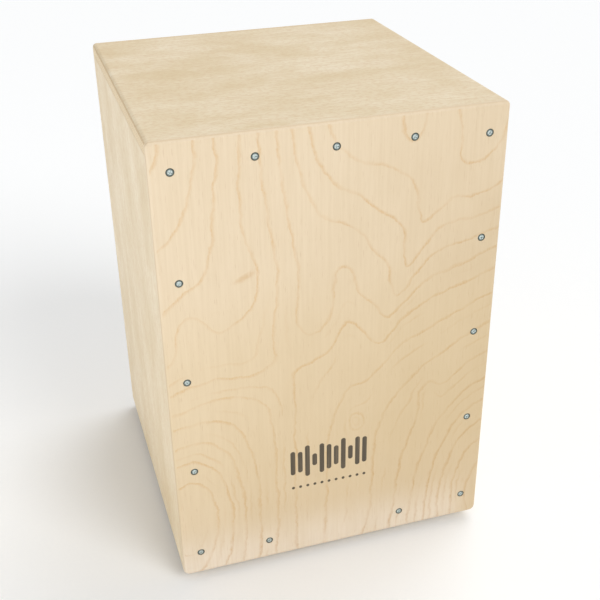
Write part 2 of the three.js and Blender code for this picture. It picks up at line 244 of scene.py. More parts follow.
class ShaderGraph:
    """The nodes of one material or one node group."""

    def __init__(self, tree: bpy.types.NodeTree) -> None:
        """Takes over a node tree.

        Args:
            tree: The tree that the nodes go into.
        """
        self.tree = tree

    def node(
        self,
        kind: str,
        settings: Optional[Mapping[str, Any]] = None,
        values: Optional[Mapping[Any, Input]] = None,
    ) -> bpy.types.Node:
        """Makes a node.

        Args:
            kind: The node's type.
            settings: Its properties, which are set first.
            values: A number, colour, link or signal for each input, by name or by place.

        Returns:
            The node.
        """
        made = self.tree.nodes.new(kind)
        for name, setting in (settings or {}).items():
            setattr(made, name, setting)
        for name, value in (values or {}).items():
            source = value.socket if isinstance(value, Signal) else value
            if isinstance(source, bpy.types.NodeSocket):
                self.tree.links.new(source, made.inputs[name])
            else:
                made.inputs[name].default_value = source
        return made

    def math(self, operation: str, *values: Number) -> Signal:
        """One Math node on numbers and signals."""
        made = self.node("ShaderNodeMath", {"operation": operation}, dict(enumerate(values)))
        return Signal(self, made.outputs[0])

    def vector(self, operation: str, *values: Input) -> bpy.types.NodeSocket:
        """One Vector Math node, as a vector."""
        made = self.node("ShaderNodeVectorMath", {"operation": operation}, dict(enumerate(values)))
        return made.outputs["Vector"]

    def measure(self, operation: str, *values: Input) -> Signal:
        """One Vector Math node, as a number."""
        made = self.node("ShaderNodeVectorMath", {"operation": operation}, dict(enumerate(values)))
        return Signal(self, made.outputs["Value"])

    def joined(self, x: Number, y: Number, z: Number) -> bpy.types.NodeSocket:
        """A vector from three numbers."""
        return self.node("ShaderNodeCombineXYZ", None, {"X": x, "Y": y, "Z": z}).outputs["Vector"]

    def parts(self, vector: bpy.types.NodeSocket) -> tuple[Signal, Signal, Signal]:
        """The three numbers of a vector.

        Args:
            vector: The vector.

        Returns:
            Its x, y and z.
        """
        made = self.node("ShaderNodeSeparateXYZ", None, {"Vector": vector})
        return (
            Signal(self, made.outputs["X"]),
            Signal(self, made.outputs["Y"]),
            Signal(self, made.outputs["Z"]),
        )

    def here(self) -> bpy.types.NodeSocket:
        """The place on the object, in metres."""
        return self.node("ShaderNodeTexCoord").outputs["Object"]

    def attribute(self, name: str) -> Signal:
        """A number that the mesh carries."""
        return Signal(self, self.node("ShaderNodeAttribute", {"attribute_name": name}).outputs["Fac"])

    def noise(
        self, place: Input, stretch: Sequence[float], detail: float = 2.0, rough: float = 0.5
    ) -> Signal:
        """Smooth noise about 0.5.

        Args:
            place: Where it is looked up.
            stretch: Its grains per metre along each axis.
            detail: How many finer layers it has.
            rough: How strong the finer layers are.

        Returns:
            The noise.
        """
        scaled = self.vector("MULTIPLY", place, stretch)
        values = {"Vector": scaled, "Scale": 1.0, "Detail": detail, "Roughness": rough}
        return Signal(self, self.node("ShaderNodeTexNoise", None, values).outputs["Fac"])

    def wander(self, place: Input, scale: float, reach: float) -> bpy.types.NodeSocket:
        """The place moved about at random, for lines that aren't ruled.

        Args:
            place: The place to move.
            scale: Wanderings per metre.
            reach: How far they go, in metres.

        Returns:
            The moved place.
        """
        values = {"Vector": place, "Scale": scale, "Detail": 0.6}
        colour = self.node("ShaderNodeTexNoise", None, values).outputs["Color"]
        shift = self.vector("SUBTRACT", colour, (0.5, 0.5, 0.5))
        return self.vector("ADD", place, self.vector("MULTIPLY", shift, (2 * reach,) * 3))

    def mixed(self, share: Number, first: Input, second: Input) -> bpy.types.NodeSocket:
        """A colour between two others.

        Args:
            share: How much of the second one there is.
            first: The colour at 0.
            second: The colour at 1.

        Returns:
            The mixed colour.
        """
        colours = {0: share, 6: first, 7: second}
        return self.node("ShaderNodeMix", {"data_type": "RGBA"}, colours).outputs[2]

    def bump(self, height: Signal, strength: float, depth: float) -> bpy.types.NodeSocket:
        """A normal for a relief.

        Args:
            height: The relief, from 0 to 1.
            strength: Its share of the full effect.
            depth: Its depth in metres.

        Returns:
            The normal.
        """
        values = {"Strength": strength, "Distance": depth, "Height": height}
        return self.node("ShaderNodeBump", None, values).outputs["Normal"]


class Finish:
    """A surface finish, which makes its material once."""

    slot: str
    title: str

    def shade(self, graph: ShaderGraph) -> Mapping[str, Input]:
        """Adds the finish's nodes and gives the inputs of its Principled shader."""
        raise NotImplementedError

    def material(self) -> bpy.types.Material:
        """The material, made on first use.

        Returns:
            The finish's material.
        """
        found = bpy.data.materials.get(self.title)
        if found is not None:
            return found
        made = bpy.data.materials.new(self.title)
        made.use_nodes = True
        made.node_tree.nodes.clear()
        graph = ShaderGraph(made.node_tree)
        shader = graph.node("ShaderNodeBsdfPrincipled", None, self.shade(graph))
        graph.node("ShaderNodeOutputMaterial", None, {"Surface": shader.outputs["BSDF"]})
        return made


# ------------------------------------------------------------------------ wood


@dataclass(frozen=True)
class Swell:
    """A hill or hollow in the rings that a peeled veneer cuts through.

    x and z are its middle on the plate, half_width and half_height its reach, rise its height in rings, and
    turn leans it over, in degrees.
    """

    x: float
    z: float
    half_width: float
    half_height: float
    rise: float
    turn: float = 0.0


@dataclass(frozen=True)
class RotaryFigure:
    """The contour lines of a rotary-cut birch veneer, as a landscape whose levels are the growth rings.

    The landscape is a saddle, low above left and below right of its pass and high in the other two quarters.
    Swells make its knots, loops and nested points. Places are millimetres from the plate's lower edge and
    middle line.
    """

    pass_x: float = -50.0
    pass_z: float = 218.0
    tilt: float = 0.36
    ring_width: float = 19.0
    ring_height: float = 22.0
    pass_level: float = 3.5
    swells: tuple[Swell, ...] = (
        Swell(-135, 415, 42, 85, -1.2),
        Swell(5, 440, 48, 66, 1.9),
        Swell(120, 380, 60, 60, 1.5),
        Swell(64, 290, 13, 85, 1.2, -18),
        Swell(66, 440, 12, 34, -1.5),
        Swell(98, 398, 10, 22, -0.8),
        Swell(8, 306, 25, 46, -0.95),
        Swell(10, 240, 11, 36, -0.6),
        Swell(-20, 262, 12, 26, 0.35),
        Swell(-78, 300, 34, 40, -0.8),
        Swell(-70, 215, 30, 30, -0.5),
        Swell(-128, 262, 14, 20, 1.0),
        Swell(19, 140, 8, 11, -1.1),
        Swell(90, 150, 9, 22, -0.9),
        Swell(30, 30, 40, 80, 0.6),
        Swell(150, 40, 52, 100, -3.4),
        Swell(-135, 70, 46, 88, 2.95),
    )

    def group(self) -> bpy.types.NodeTree:
        """The landscape as a node group, from a place in millimetres to a height in rings.

        Returns:
            The node group, made on first use.
        """
        title = "ring_landscape"
        found = bpy.data.node_groups.get(title)
        if found is not None:
            return found
        tree = bpy.data.node_groups.new(title, "ShaderNodeTree")
        tree.interface.new_socket("Place", in_out="INPUT", socket_type="NodeSocketVector")
        tree.interface.new_socket("Height", in_out="OUTPUT", socket_type="NodeSocketFloat")
        graph = ShaderGraph(tree)
        place = graph.node("NodeGroupInput").outputs["Place"]
        x, _, z = graph.parts(place)
        across = x - self.pass_x
        along = z - self.pass_z - across * self.tilt
        sideways, upwards = abs(across) / self.ring_width, abs(along) / self.ring_height
        height = (across * along).sign() * sideways * upwards / (sideways + upwards + 0.001) + self.pass_level
        flat = graph.joined(x, 0.0, z)
        for swell in self.swells:
            height = height + self.raised(graph, flat, swell)
        graph.node("NodeGroupOutput", None, {"Height": height})
        return tree

    def raised(self, graph: ShaderGraph, place: bpy.types.NodeSocket, swell: Swell) -> Signal:
        """One swell's height at a place.

        Args:
            graph: Where its nodes go.
            place: The place, in millimetres.
            swell: The hill or hollow.

        Returns:
            Its height in rings, which dies away smoothly round its middle.
        """
        values = {
            "Vector": place,
            "Location": (swell.x, 0.0, swell.z),
            "Rotation": (0.0, -math.radians(swell.turn), 0.0),
            "Scale": (swell.half_width, 1.0, swell.half_height),
        }
        own = graph.node("ShaderNodeMapping", {"vector_type": "TEXTURE"}, values).outputs["Vector"]
        return math.exp(-1) ** graph.measure("DOT_PRODUCT", own, own) * swell.rise


@dataclass(frozen=True)
class Streaks:
    """How finely wood is drawn along its grain: its streaks, clouds and pores."""

    grain: Axis
    across: float = 420.0
    along: float = 14.0

    def stretch(self, across: float, along: float) -> Point:
        """Grains per metre on each axis for a noise that runs with the grain."""
        return tuple(along if axis is self.grain else across for axis in Axis)

    def fibres(self, graph: ShaderGraph) -> Signal:
        """Fine streaks about 0.5."""
        return graph.noise(graph.here(), self.stretch(self.across, self.along), 3.0, 0.6)

    def clouds(self, graph: ShaderGraph) -> Signal:
        """Broad soft patches about 0.5."""
        return graph.noise(graph.here(), self.stretch(20.0, 11.0), 4.0, 0.6)

    def pores(self, graph: ShaderGraph) -> Signal:
        """Short dark flecks, 1 in a fleck."""
        return graph.noise(graph.here(), self.stretch(1500.0, 90.0), 1.0, 0.4).step(0.66, 0.76)


@dataclass(frozen=True)
class PrintedRow:
    """A printed row of rounded bars of uneven height over a row of dots, in millimetres on the plate."""

    left: float = -45.0
    right: float = 32.0
    pitch: float = 7.0
    bar_radius: float = 2.3
    bar_middle: float = 106.0
    dot_radius: float = 1.5
    dot_middle: float = 77.5

    def mask(self, graph: ShaderGraph, x: Signal, z: Signal) -> Signal:
        """The print's cover.

        Args:
            graph: Where its nodes go.
            x: The place across the plate.
            z: The place above the plate's lower edge.

        Returns:
            1 on the ink and 0 off it.
        """
        step = (x - self.left) / self.pitch
        beside = (step - step.floored() - 0.5) * self.pitch
        half = abs(graph.math("SINE", step.floored() * 1.9 + 0.7)) * 12.5 + 3.0
        above = (abs(z - self.bar_middle) - half).at_least(0.0)
        bars = self.cover(graph, beside, above, self.bar_radius)
        dots = self.cover(graph, beside, z - self.dot_middle, self.dot_radius)
        inside = x.step(self.left - 0.1, self.left + 0.1) * x.step(self.right + 0.1, self.right - 0.1)
        return bars.at_least(dots) * inside

    def cover(self, graph: ShaderGraph, beside: Signal, above: Signal, radius: float) -> Signal:
        """The share of ink at a distance from a bar's spine or a dot's middle."""
        return graph.math("SQRT", beside * beside + above * above).step(radius + 0.12, radius - 0.12)


@dataclass(frozen=True)
class PinKnot:
    """A small smeared knot in the striking plate. Its places are in millimetres, and it leans by slope."""

    x: float = -79.0
    z: float = 305.0
    half_width: float = 11.0
    half_height: float = 3.6
    slope: float = 0.38

    def mask(self, graph: ShaderGraph, x: Signal, z: Signal) -> Signal:
        """The knot's cover, uneven and soft at its rim.

        Args:
            graph: Where its nodes go.
            x: The place across the plate.
            z: The place above the plate's lower edge.

        Returns:
            1 in the knot's middle and 0 outside it.
        """
        beside = (x - self.x) / self.half_width
        above = (z - self.z - (x - self.x) * self.slope) / self.half_height
        uneven = graph.noise(graph.joined(x, 0.0, z), (0.3, 1.0, 0.5), 3.0, 0.6)
        return (beside * beside + above * above + uneven * 1.3).step(1.9, 0.3)


@dataclass(frozen=True)
class FaceVeneer(Finish):
    """The striking plate's lacquered birch: its rings and print in front, and its plies on the edges."""

    plate: Box
    plies: int = 3
    slot: str = "birch_face_veneer"
    title: str = "birch_striking_plate"
    figure: RotaryFigure = RotaryFigure()
    knot: PinKnot = PinKnot()
    main_line: tuple[float, float] = (2.9, 1.5)
    faint_line: tuple[float, float] = (2.6, 1.4)
    gentlest_slope: float = 0.014
    printed: PrintedRow = PrintedRow()
    streaks: Streaks = Streaks(Axis.Z)

    def shade(self, graph: ShaderGraph) -> Mapping[str, Input]:
        """Adds the finish's nodes and gives the inputs of its Principled shader.

        Args:
            graph: Where its nodes go.

        Returns:
            The inputs, by name.
        """
        x, depth, z = graph.parts(graph.here())
        x, z = x / MM, (z - self.plate.low.z) / MM
        layer = (depth - self.plate.low.y) * (self.plies / self.plate.size.y)
        front = layer.step(0.3, 0.12)
        rings = self.rings(graph, x, z) * front
        fibres, clouds = self.streaks.fibres(graph), self.streaks.clouds(graph)
        slant = (z * 0.0022 - x * 0.0022 + clouds * 0.5).step(0.1, 1.35)
        pale = graph.mixed(slant, paint(211, 189, 154), paint(231, 212, 183))
        heart = z.step(30.0, 130.0) * z.step(320.0, 220.0)
        warm = graph.mixed(heart * 0.1, pale, paint(206, 176, 96))
        # Painted light: a paler band along the plate's lower edge stands in for light bounced up from the
        # floor. It fades out towards the right edge.
        painted_floor_bounce = z.step(62.0, 4.0) * x.step(148.0, 112.0) * (clouds.step(0.2, 0.7) * 0.3 + 0.7)
        toned = graph.mixed(painted_floor_bounce * 0.6, warm, paint(240, 228, 214))
        base = graph.mixed(fibres.step(0.25, 0.75) * 0.2, toned, paint(204, 178, 136))
        late = graph.mixed(slant, paint(190, 146, 86), paint(214, 172, 110))
        ringed = graph.mixed(rings * 0.56, base, late)
        smear = self.knot.mask(graph, x, z) * front
        knotted = graph.mixed(smear * 0.42, ringed, paint(204, 160, 98))
        flecked = graph.mixed(self.streaks.pores(graph) * 0.22, knotted, paint(184, 144, 96))
        ink = self.printed.mask(graph, x, z) * (0.97 - fibres.step(0.45, 0.8) * 0.14) * front
        printed = graph.mixed(ink, flecked, paint(74, 65, 52))
        core = layer.step(0.96, 1.04) * layer.step(2.04, 1.96)
        colour = graph.mixed(core * 0.3, printed, paint(200, 170, 124))
        return {
            "Base Color": colour,
            "Roughness": rings * 0.05 + fibres * 0.12 + 0.36,
            "Normal": graph.bump(fibres, 0.12, 0.0002),
            "Specular IOR Level": 0.35,
            "Coat Weight": 0.06,
            "Coat Roughness": 0.4,
        }

    def rings(self, graph: ShaderGraph, x: Signal, z: Signal) -> Signal:
        """The strength of the growth-ring lines.

        Args:
            graph: Where their nodes go.
            x: The place across the plate, in millimetres.
            z: The place above the plate's lower edge, in millimetres.

        Returns:
            0 between the lines and up to 1 on them.
        """
        flat = graph.joined(x, 0.0, z)
        place = graph.wander(graph.wander(graph.wander(flat, 0.045, 3.0), 0.13, 1.6), 0.4, 0.75)
        reach = 0.6
        height = self.height(graph, place)
        rise_x = self.height(graph, graph.vector("ADD", place, (reach, 0.0, 0.0))) - height
        rise_z = self.height(graph, graph.vector("ADD", place, (0.0, 0.0, reach))) - height
        slope = graph.math("SQRT", rise_x * rise_x + rise_z * rise_z) / reach
        steepness = slope.at_least(self.gentlest_slope)
        strength = graph.noise(flat, (0.035, 1.0, 0.035), 2.0).step(0.33, 0.66) * 0.68 + 0.32
        specks = graph.noise(flat, (0.9, 1.0, 0.22), 2.0, 0.65).step(0.32, 0.72) * 0.6 + 0.5
        drawn = graph.noise(flat, (0.018, 1.0, 0.018), 1.0).step(0.42, 0.6) * z.step(310.0, 210.0)
        main = self.line(height, steepness, *self.main_line)
        faint = self.line(height + 0.42, steepness, *self.faint_line) * drawn * 0.6
        return main.at_least(faint) * strength * specks

    def height(self, graph: ShaderGraph, place: bpy.types.NodeSocket) -> Signal:
        """The landscape's height at a place."""
        group = graph.node("ShaderNodeGroup", {"node_tree": self.figure.group()}, {"Place": place})
        return Signal(graph, group.outputs["Height"])

    def line(self, height: Signal, steepness: Signal, soft_side: float, hard_side: float) -> Signal:
        """A line along each whole level, soft on its upper side and harder below.

        Args:
            height: The landscape's height.
            steepness: How much the height changes per millimetre.
            soft_side: How far the line reaches on its upper side, in millimetres.
            hard_side: How far it reaches below, in millimetres.

        Returns:
            The line's cover.
        """
        away = (height - height.rounded()) / steepness
        return away.step(-hard_side, 0.0) * away.step(soft_side, 0.0)


@dataclass(frozen=True)
class Plywood(Finish):
    """Birch plywood: plain clouded faces, and on its edges every ply in turn, with the glue between them."""

    title: str
    panel: Box
    thickness: Axis
    grain: Axis
    slot: str = "birch_plywood"
    ply: float = 1.32 * MM
    bleached: float = 0.2
    light: Colour = paint(240, 226, 198)
    dark: Colour = paint(224, 204, 166)

    def shade(self, graph: ShaderGraph) -> Mapping[str, Input]:
        """Adds the finish's nodes and gives the inputs of its Principled shader.

        Args:
            graph: Where its nodes go.

        Returns:
            The inputs, by name.
        """
        streaks = Streaks(self.grain)
        fibres, clouds = streaks.fibres(graph), streaks.clouds(graph)
        mottle = graph.noise(graph.here(), streaks.stretch(330.0, 210.0), 3.0, 0.65)
        patches = graph.noise(graph.here(), streaks.stretch(42.0, 24.0), 5.0, 0.6)
        bands = graph.noise(graph.here(), streaks.stretch(30.0, 2.2), 3.0, 0.6)
        rings = abs((bands * 9.0) % 1.0 - 0.5).step(0.22, 0.0) * clouds.step(0.35, 0.65) * 0.2
        face = graph.mixed(clouds.step(0.28, 0.72), self.dark, self.light)
        face = graph.mixed(fibres.step(0.25, 0.75) * 0.13, face, paint(208, 180, 136))
        face = graph.mixed(patches.step(0.48, 0.75) * self.bleached, face, paint(245, 233, 210))
        face = graph.mixed(mottle.step(0.42, 0.66) * 0.34, face, paint(212, 178, 130))
        face = graph.mixed(rings, face, paint(206, 170, 120))
        face = graph.mixed(streaks.pores(graph) * 0.16, face, paint(170, 132, 88))
        plies = max(3, round(self.panel.size[self.thickness.value] / self.ply) // 2 * 2 + 1)
        layer = self.layer(graph, plies)
        edge = self.edge(graph, layer)
        inner = abs(layer - plies / 2).step(plies / 2 - 0.93, plies / 2 - 1.0)
        colour = graph.mixed(inner, face, edge)
        return {
            "Base Color": colour,
            "Roughness": inner * 0.12 + fibres * 0.14 + 0.42,
            "Normal": graph.bump(fibres, 0.15, 0.0002),
        }

    def layer(self, graph: ShaderGraph, plies: int) -> Signal:
        """The depth below the panel's lower face, counted in plies.

        Args:
            graph: Where its nodes go.
            plies: How many plies the panel has.

        Returns:
            The depth, which wanders a little between the two faces.
        """
        depth = graph.parts(graph.here())[self.thickness.value] - self.panel.low[self.thickness.value]
        wobble = graph.noise(graph.here(), (22.0, 22.0, 22.0), 1.0) * 0.3 - 0.15
        share = depth * (plies / self.panel.size[self.thickness.value])
        inside = share.at_most(plies - share).step(0.2, 1.0)
        return share + wobble * inside

    def edge(self, graph: ShaderGraph, layer: Signal) -> bpy.types.NodeSocket:
        """The colour of the plies seen edgeways, every second one across the grain.

        Args:
            graph: Where its nodes go.
            layer: The depth in plies.

        Returns:
            The colour.
        """
        across = layer.floored() % 2.0
        along_face = graph.noise(graph.here(), (700.0, 700.0, 700.0), 3.0, 0.6)
        tone = graph.mixed(along_face.step(0.3, 0.7), paint(226, 204, 164), paint(242, 226, 194))
        end_grain = graph.mixed(along_face.step(0.35, 0.75), paint(206, 176, 130), paint(226, 200, 158))
        plies = graph.mixed(across * 0.75, tone, end_grain)
        glue = abs(layer - layer.rounded()).step(0.09, 0.03) * 0.32
        return graph.mixed(glue, plies, paint(140, 104, 66))


class Cut(Enum):
    """How a stick's growth rings lie: the turn of the pith round the stick's own middle, in degrees."""

    RIFT = 40.0
    FLAT = 95.0
    QUARTER = 170.0


@dataclass(frozen=True)
class Timber(Finish):
    """Planed solid wood, with the rings of a trunk whose pith is outside the stick."""

    title: str
    slot: str
    grain: Axis
    middle: tuple[float, float]
    cut: Cut
    early: Colour = paint(240, 214, 164)
    late: Colour = paint(206, 158, 96)
    ring: float = 2.6 * MM
    flecks: float = 0.0
    pith: float = 34 * MM

    def shade(self, graph: ShaderGraph) -> Mapping[str, Input]:
        """Adds the finish's nodes and gives the inputs of its Principled shader.

        Args:
            graph: Where its nodes go.

        Returns:
            The inputs, by name.
        """
        streaks = Streaks(self.grain, 900.0, 24.0)
        fibres = streaks.fibres(graph)
        place = graph.wander(graph.here(), 14.0, 1.6 * MM)
        parts = graph.parts(place)
        first, second = (parts[axis.value] for axis in Axis if axis is not self.grain)
        turn = math.radians(self.cut.value)
        first = first - self.middle[0] - math.cos(turn) * self.pith
        second = second - self.middle[1] - math.sin(turn) * self.pith
        radius = graph.math("SQRT", first * first + second * second)
        share = (radius / self.ring) % 1.0
        late = share.step(0.3, 0.88) * share.step(1.0, 0.93)
        colour = graph.mixed(late * 0.7, self.early, self.late)
        colour = graph.mixed(fibres.step(0.3, 0.7) * 0.3, colour, self.late)
        if self.flecks:
            dashes = graph.noise(graph.here(), streaks.stretch(2600.0, 420.0), 1.0, 0.4).step(0.6, 0.7)
            colour = graph.mixed(dashes * self.flecks, colour, paint(136, 88, 54))
        return {
            "Base Color": colour,
            "Roughness": late * -0.08 + fibres * 0.15 + 0.52,
            "Normal": graph.bump(fibres + late * 0.4, 0.3, 0.0002),
        }


# ------------------------------------------------------------------------ metal, rubber, felt


@dataclass(frozen=True)
class ZincPlate(Finish):
    """Bright zinc plating, a little blue, with painted shade that darkens turned parts away from their
    middle.
    """

    slot: str = "zinc_plated_steel"
    title: str = "bright_zinc"

    def shade(self, graph: ShaderGraph) -> Mapping[str, Input]:
        """Adds the finish's nodes and gives the inputs of its Principled shader.

        Args:
            graph: Where its nodes go.

        Returns:
            The inputs, by name.
        """
        mottle = graph.noise(graph.here(), (900.0, 900.0, 900.0), 3.0, 0.6)
        outward = graph.attribute("outward")
        # Painted shade: turned parts darken away from their middle, towards the rims of screw heads and
        # washers, as if shadowed by the hollows they sit in.
        painted_rim_shade = outward.step(0.4, 0.8)
        colour = graph.mixed(painted_rim_shade, paint(232, 242, 240), paint(84, 94, 90))
        colour = graph.mixed(mottle.step(0.3, 0.75) * 0.35, colour, paint(134, 148, 144))
        brushed = graph.noise(graph.here(), (2600.0, 300.0, 300.0), 1.0)
        return {
            "Base Color": colour,
            "Metallic": 0.9,
            "Roughness": mottle * 0.2 + brushed * 0.1 + 0.22,
            "Normal": graph.bump(brushed, 0.15, 0.0001),
        }


@dataclass(frozen=True)
class SnareSteel(Finish):
    """Drawn spring steel, with the drawing marks along the wires and a trace of flux by the solder."""

    solder: Box
    slot: str = "snare_steel"
    title: str = "snare_wire_steel"

    def shade(self, graph: ShaderGraph) -> Mapping[str, Input]:
        """Adds the finish's nodes and gives the inputs of its Principled shader.

        Args:
            graph: Where its nodes go.

        Returns:
            The inputs, by name.
        """
        height = graph.parts(graph.here())[Axis.Z.value]
        near = height.step(self.solder.high.z + 4 * MM, self.solder.high.z - 3 * MM)
        mottle = graph.noise(graph.here(), (500.0, 500.0, 220.0), 3.0, 0.6)
        flux = near * mottle.step(0.4, 0.7) * 0.5
        colour = graph.mixed(mottle.step(0.3, 0.7) * 0.35, paint(214, 214, 210), paint(160, 161, 160))
        colour = graph.mixed(flux, colour, paint(150, 120, 78))
        return {
            "Base Color": colour,
            "Metallic": 0.95,
            "Roughness": mottle * 0.18 + flux * 0.3 + 0.2,
            "Normal": graph.bump(mottle, 0.1, 0.0001),
        }


@dataclass(frozen=True)
class Rubber(Finish):
    """Moulded black rubber, dusty on the sole."""

    slot: str = "black_rubber"
    title: str = "black_rubber_moulded"

    def shade(self, graph: ShaderGraph) -> Mapping[str, Input]:
        """Adds the finish's nodes and gives the inputs of its Principled shader.

        Args:
            graph: Where its nodes go.

        Returns:
            The inputs, by name.
        """
        grain = graph.noise(graph.here(), (1600.0, 1600.0, 1600.0), 2.0, 0.6)
        dust = graph.noise(graph.here(), (180.0, 180.0, 90.0), 3.0, 0.65).step(0.5, 0.75)
        height = graph.parts(graph.here())[Axis.Z.value]
        worn = height.step(1.6 * MM, 0.0) * 0.4 + 0.12
        colour = graph.mixed(dust * worn, paint(34, 34, 35), paint(112, 108, 102))
        return {
            "Base Color": colour,
            "Roughness": grain * 0.2 + dust * 0.12 + 0.55,
            "Normal": graph.bump(grain, 0.4, 0.0002),
        }


@dataclass(frozen=True)
class Felt(Finish):
    """Pressed grey felt with pale and dark hairs."""

    slot: str = "grey_felt"
    title: str = "pressed_grey_felt"

    def shade(self, graph: ShaderGraph) -> Mapping[str, Input]:
        """Adds the finish's nodes and gives the inputs of its Principled shader.

        Args:
            graph: Where its nodes go.

        Returns:
            The inputs, by name.
        """
        tangled = graph.wander(graph.here(), 700.0, 1.2 * MM)
        hairs = graph.noise(tangled, (2400.0, 500.0, 500.0), 3.0, 0.7)
        crossing = graph.noise(tangled, (500.0, 600.0, 2400.0), 3.0, 0.7)
        colour = graph.mixed(hairs.step(0.35, 0.7), paint(66, 69, 75), paint(118, 120, 126))
        colour = graph.mixed(crossing.step(0.55, 0.75) * 0.6, colour, paint(46, 48, 54))
        return {
            "Base Color": colour,
            "Roughness": crossing * 0.1 + 0.88,
            "Normal": graph.bump(hairs + crossing, 0.7, 0.0006),
        }


@dataclass(frozen=True)
class StudioFloor(Finish):
    """Matt white paper."""

    slot: str = ""
    title: str = "studio_paper"

    def shade(self, graph: ShaderGraph) -> Mapping[str, Input]:
        """Adds the finish's nodes and gives the inputs of its Principled shader.

        Args:
            graph: Where its nodes go.

        Returns:
            The inputs, by name.
        """
        tooth = graph.noise(graph.here(), (300.0, 300.0, 300.0), 2.0)
        return {
            "Base Color": graph.mixed(tooth, paint(251, 252, 253), paint(254, 255, 255)),
            "Roughness": tooth * 0.05 + 0.9,
            "Specular IOR Level": 0.2,
        }


# ------------------------------------------------------------------------ shapes


class Shape:
    """A mesh in the making."""

    def __init__(self) -> None:
        """Starts with nothing."""
        self.mesh = bmesh.new()

    @classmethod
    def block(cls, box: Box) -> "Shape":
        """A block that fills a box.

        Args:
            box: The space that it fills.

        Returns:
            The shape.
        """
        made = cls()
        matrix = Matrix.Translation(box.centre) @ Matrix.Diagonal((*box.size, 1.0))
        bmesh.ops.create_cube(made.mesh, size=1.0, matrix=matrix)
        return made

    @classmethod
    def turned(cls, profile: Sequence[tuple[float, float]], steps: int, ring: bool = False) -> "Shape":
        """A profile turned about Z.

        Args:
            profile: Its radii and heights.
            steps: The sides of a full turn.
            ring: Whether the profile's end joins its start, for a piece with a hole.

        Returns:
            The shape, with each place's share of the greatest radius in the attribute outward.
        """
        made = cls()
        vertices = [made.mesh.verts.new((radius, 0.0, height)) for radius, height in profile]
        following = vertices[1:] + vertices[:1] if ring else vertices[1:]
        edges = [made.mesh.edges.new(pair) for pair in zip(vertices, following)]
        bmesh.ops.spin(
            made.mesh,
            geom=vertices + edges,
            cent=(0.0, 0.0, 0.0),
            axis=Axis.Z.unit,
            angle=math.tau,
            steps=steps,
            use_merge=True,
        )
        bmesh.ops.remove_doubles(made.mesh, verts=made.mesh.verts, dist=MM / 1000)
        return made.marked_outward(max(radius for radius, _ in profile)).faced()

    @classmethod
    def helix(cls, section: Sequence[tuple[float, float]], pitch: float, turns: float, steps: int) -> "Shape":
        """A section carried round Z and upwards.

        Args:
            section: Its corners, as radii and heights.
            pitch: The climb of one turn.
            turns: How many turns it makes.
            steps: The sides of one turn.

        Returns:
            The shape, closed at both ends.
        """
        made = cls()
        corners = [made.mesh.verts.new((radius, 0.0, height)) for radius, height in section]
        start = made.mesh.faces.new(corners)
        count = round(turns * steps)
        bmesh.ops.spin(
            made.mesh,
            geom=[start, *start.edges, *start.verts],
            cent=(0.0, 0.0, 0.0),
            axis=Axis.Z.unit,
            dvec=(0.0, 0.0, pitch / steps),
            angle=math.tau * count / steps,
            steps=count,
        )
        holes = [edge for edge in made.mesh.edges if edge.is_boundary]
        bmesh.ops.holes_fill(made.mesh, edges=holes)
        return made.faced()

    def faced(self) -> "Shape":
        """Turns every face outward."""
        bmesh.ops.recalc_face_normals(self.mesh, faces=self.mesh.faces)
        return self

    def marked_outward(self, reach: float) -> "Shape":
        """Notes in the attribute outward how far each vertex is from Z, as a share of a reach.

        Args:
            reach: The distance that counts as 1, in metres.

        Returns:
            This shape.
        """
        layer = self.mesh.verts.layers.float.get("outward") or self.mesh.verts.layers.float.new("outward")
        for vertex in self.mesh.verts:
            vertex[layer] = vertex.co.xy.length / reach
        return self

    def placed(self, matrix: Matrix) -> "Shape":
        """Moves and turns the whole shape."""
        bmesh.ops.transform(self.mesh, matrix=matrix, verts=self.mesh.verts)
        return self

    def softened(self, radius: float, segments: int, chosen: Callable[[bmesh.types.BMEdge], bool]) -> "Shape":
        """Rounds the chosen edges over.

        Args:
            radius: The rounding's radius.
            segments: Its faces.
            chosen: Which edges it takes.

        Returns:
            This shape.
        """
        edges = [edge for edge in self.mesh.edges if chosen(edge)]
        bmesh.ops.bevel(
            self.mesh,
            geom=edges,
            offset=radius,
            offset_type="OFFSET",
            segments=segments,
            profile=0.5,
            affect="EDGES",
            clamp_overlap=True,
            material=-1,
        )
        return self

    def copy(self) -> "Shape":
        """A second shape like this one.

        Returns:
            A shape of its own.
        """
        made = Shape()
        made.mesh = self.mesh.copy()
        return made

    def with_added(self, others: Iterable["Shape"]) -> "Shape":
        """Adds other shapes, which stay separate shells in one piece.

        Args:
            others: The shapes to add.

        Returns:
            This shape.
        """
        for other in others:
            passed = bpy.data.meshes.new("passed")
            other.mesh.to_mesh(passed)
            self.mesh.from_mesh(passed)
            bpy.data.meshes.remove(passed)
        return self

    def less(self, cutter: "Shape") -> "Shape":
        """What is left of this shape once a cutter is taken out of it."""
        return self.combined("DIFFERENCE", cutter)

    def united(self, other: "Shape") -> "Shape":
        """This shape and an overlapping one as one solid."""
        return self.combined("UNION", other)

    def combined(self, operation: str, other: "Shape") -> "Shape":
        """Solid arithmetic with another shape.

        Args:
            operation: What the Boolean modifier does.
            other: The second shape.

        Returns:
            A new shape.
        """
        blank, tool = self.solid("blank"), other.solid("tool")
        modifier = blank.modifiers.new("combine", "BOOLEAN")
        modifier.operation, modifier.solver, modifier.object = operation, "EXACT", tool
        evaluated = blank.evaluated_get(bpy.context.evaluated_depsgraph_get())
        made = Shape()
        made.mesh.from_mesh(evaluated.to_mesh())
        evaluated.to_mesh_clear()
        for used in (blank, tool):
            data = used.data
            bpy.data.objects.remove(used)
            bpy.data.meshes.remove(data)
        return made

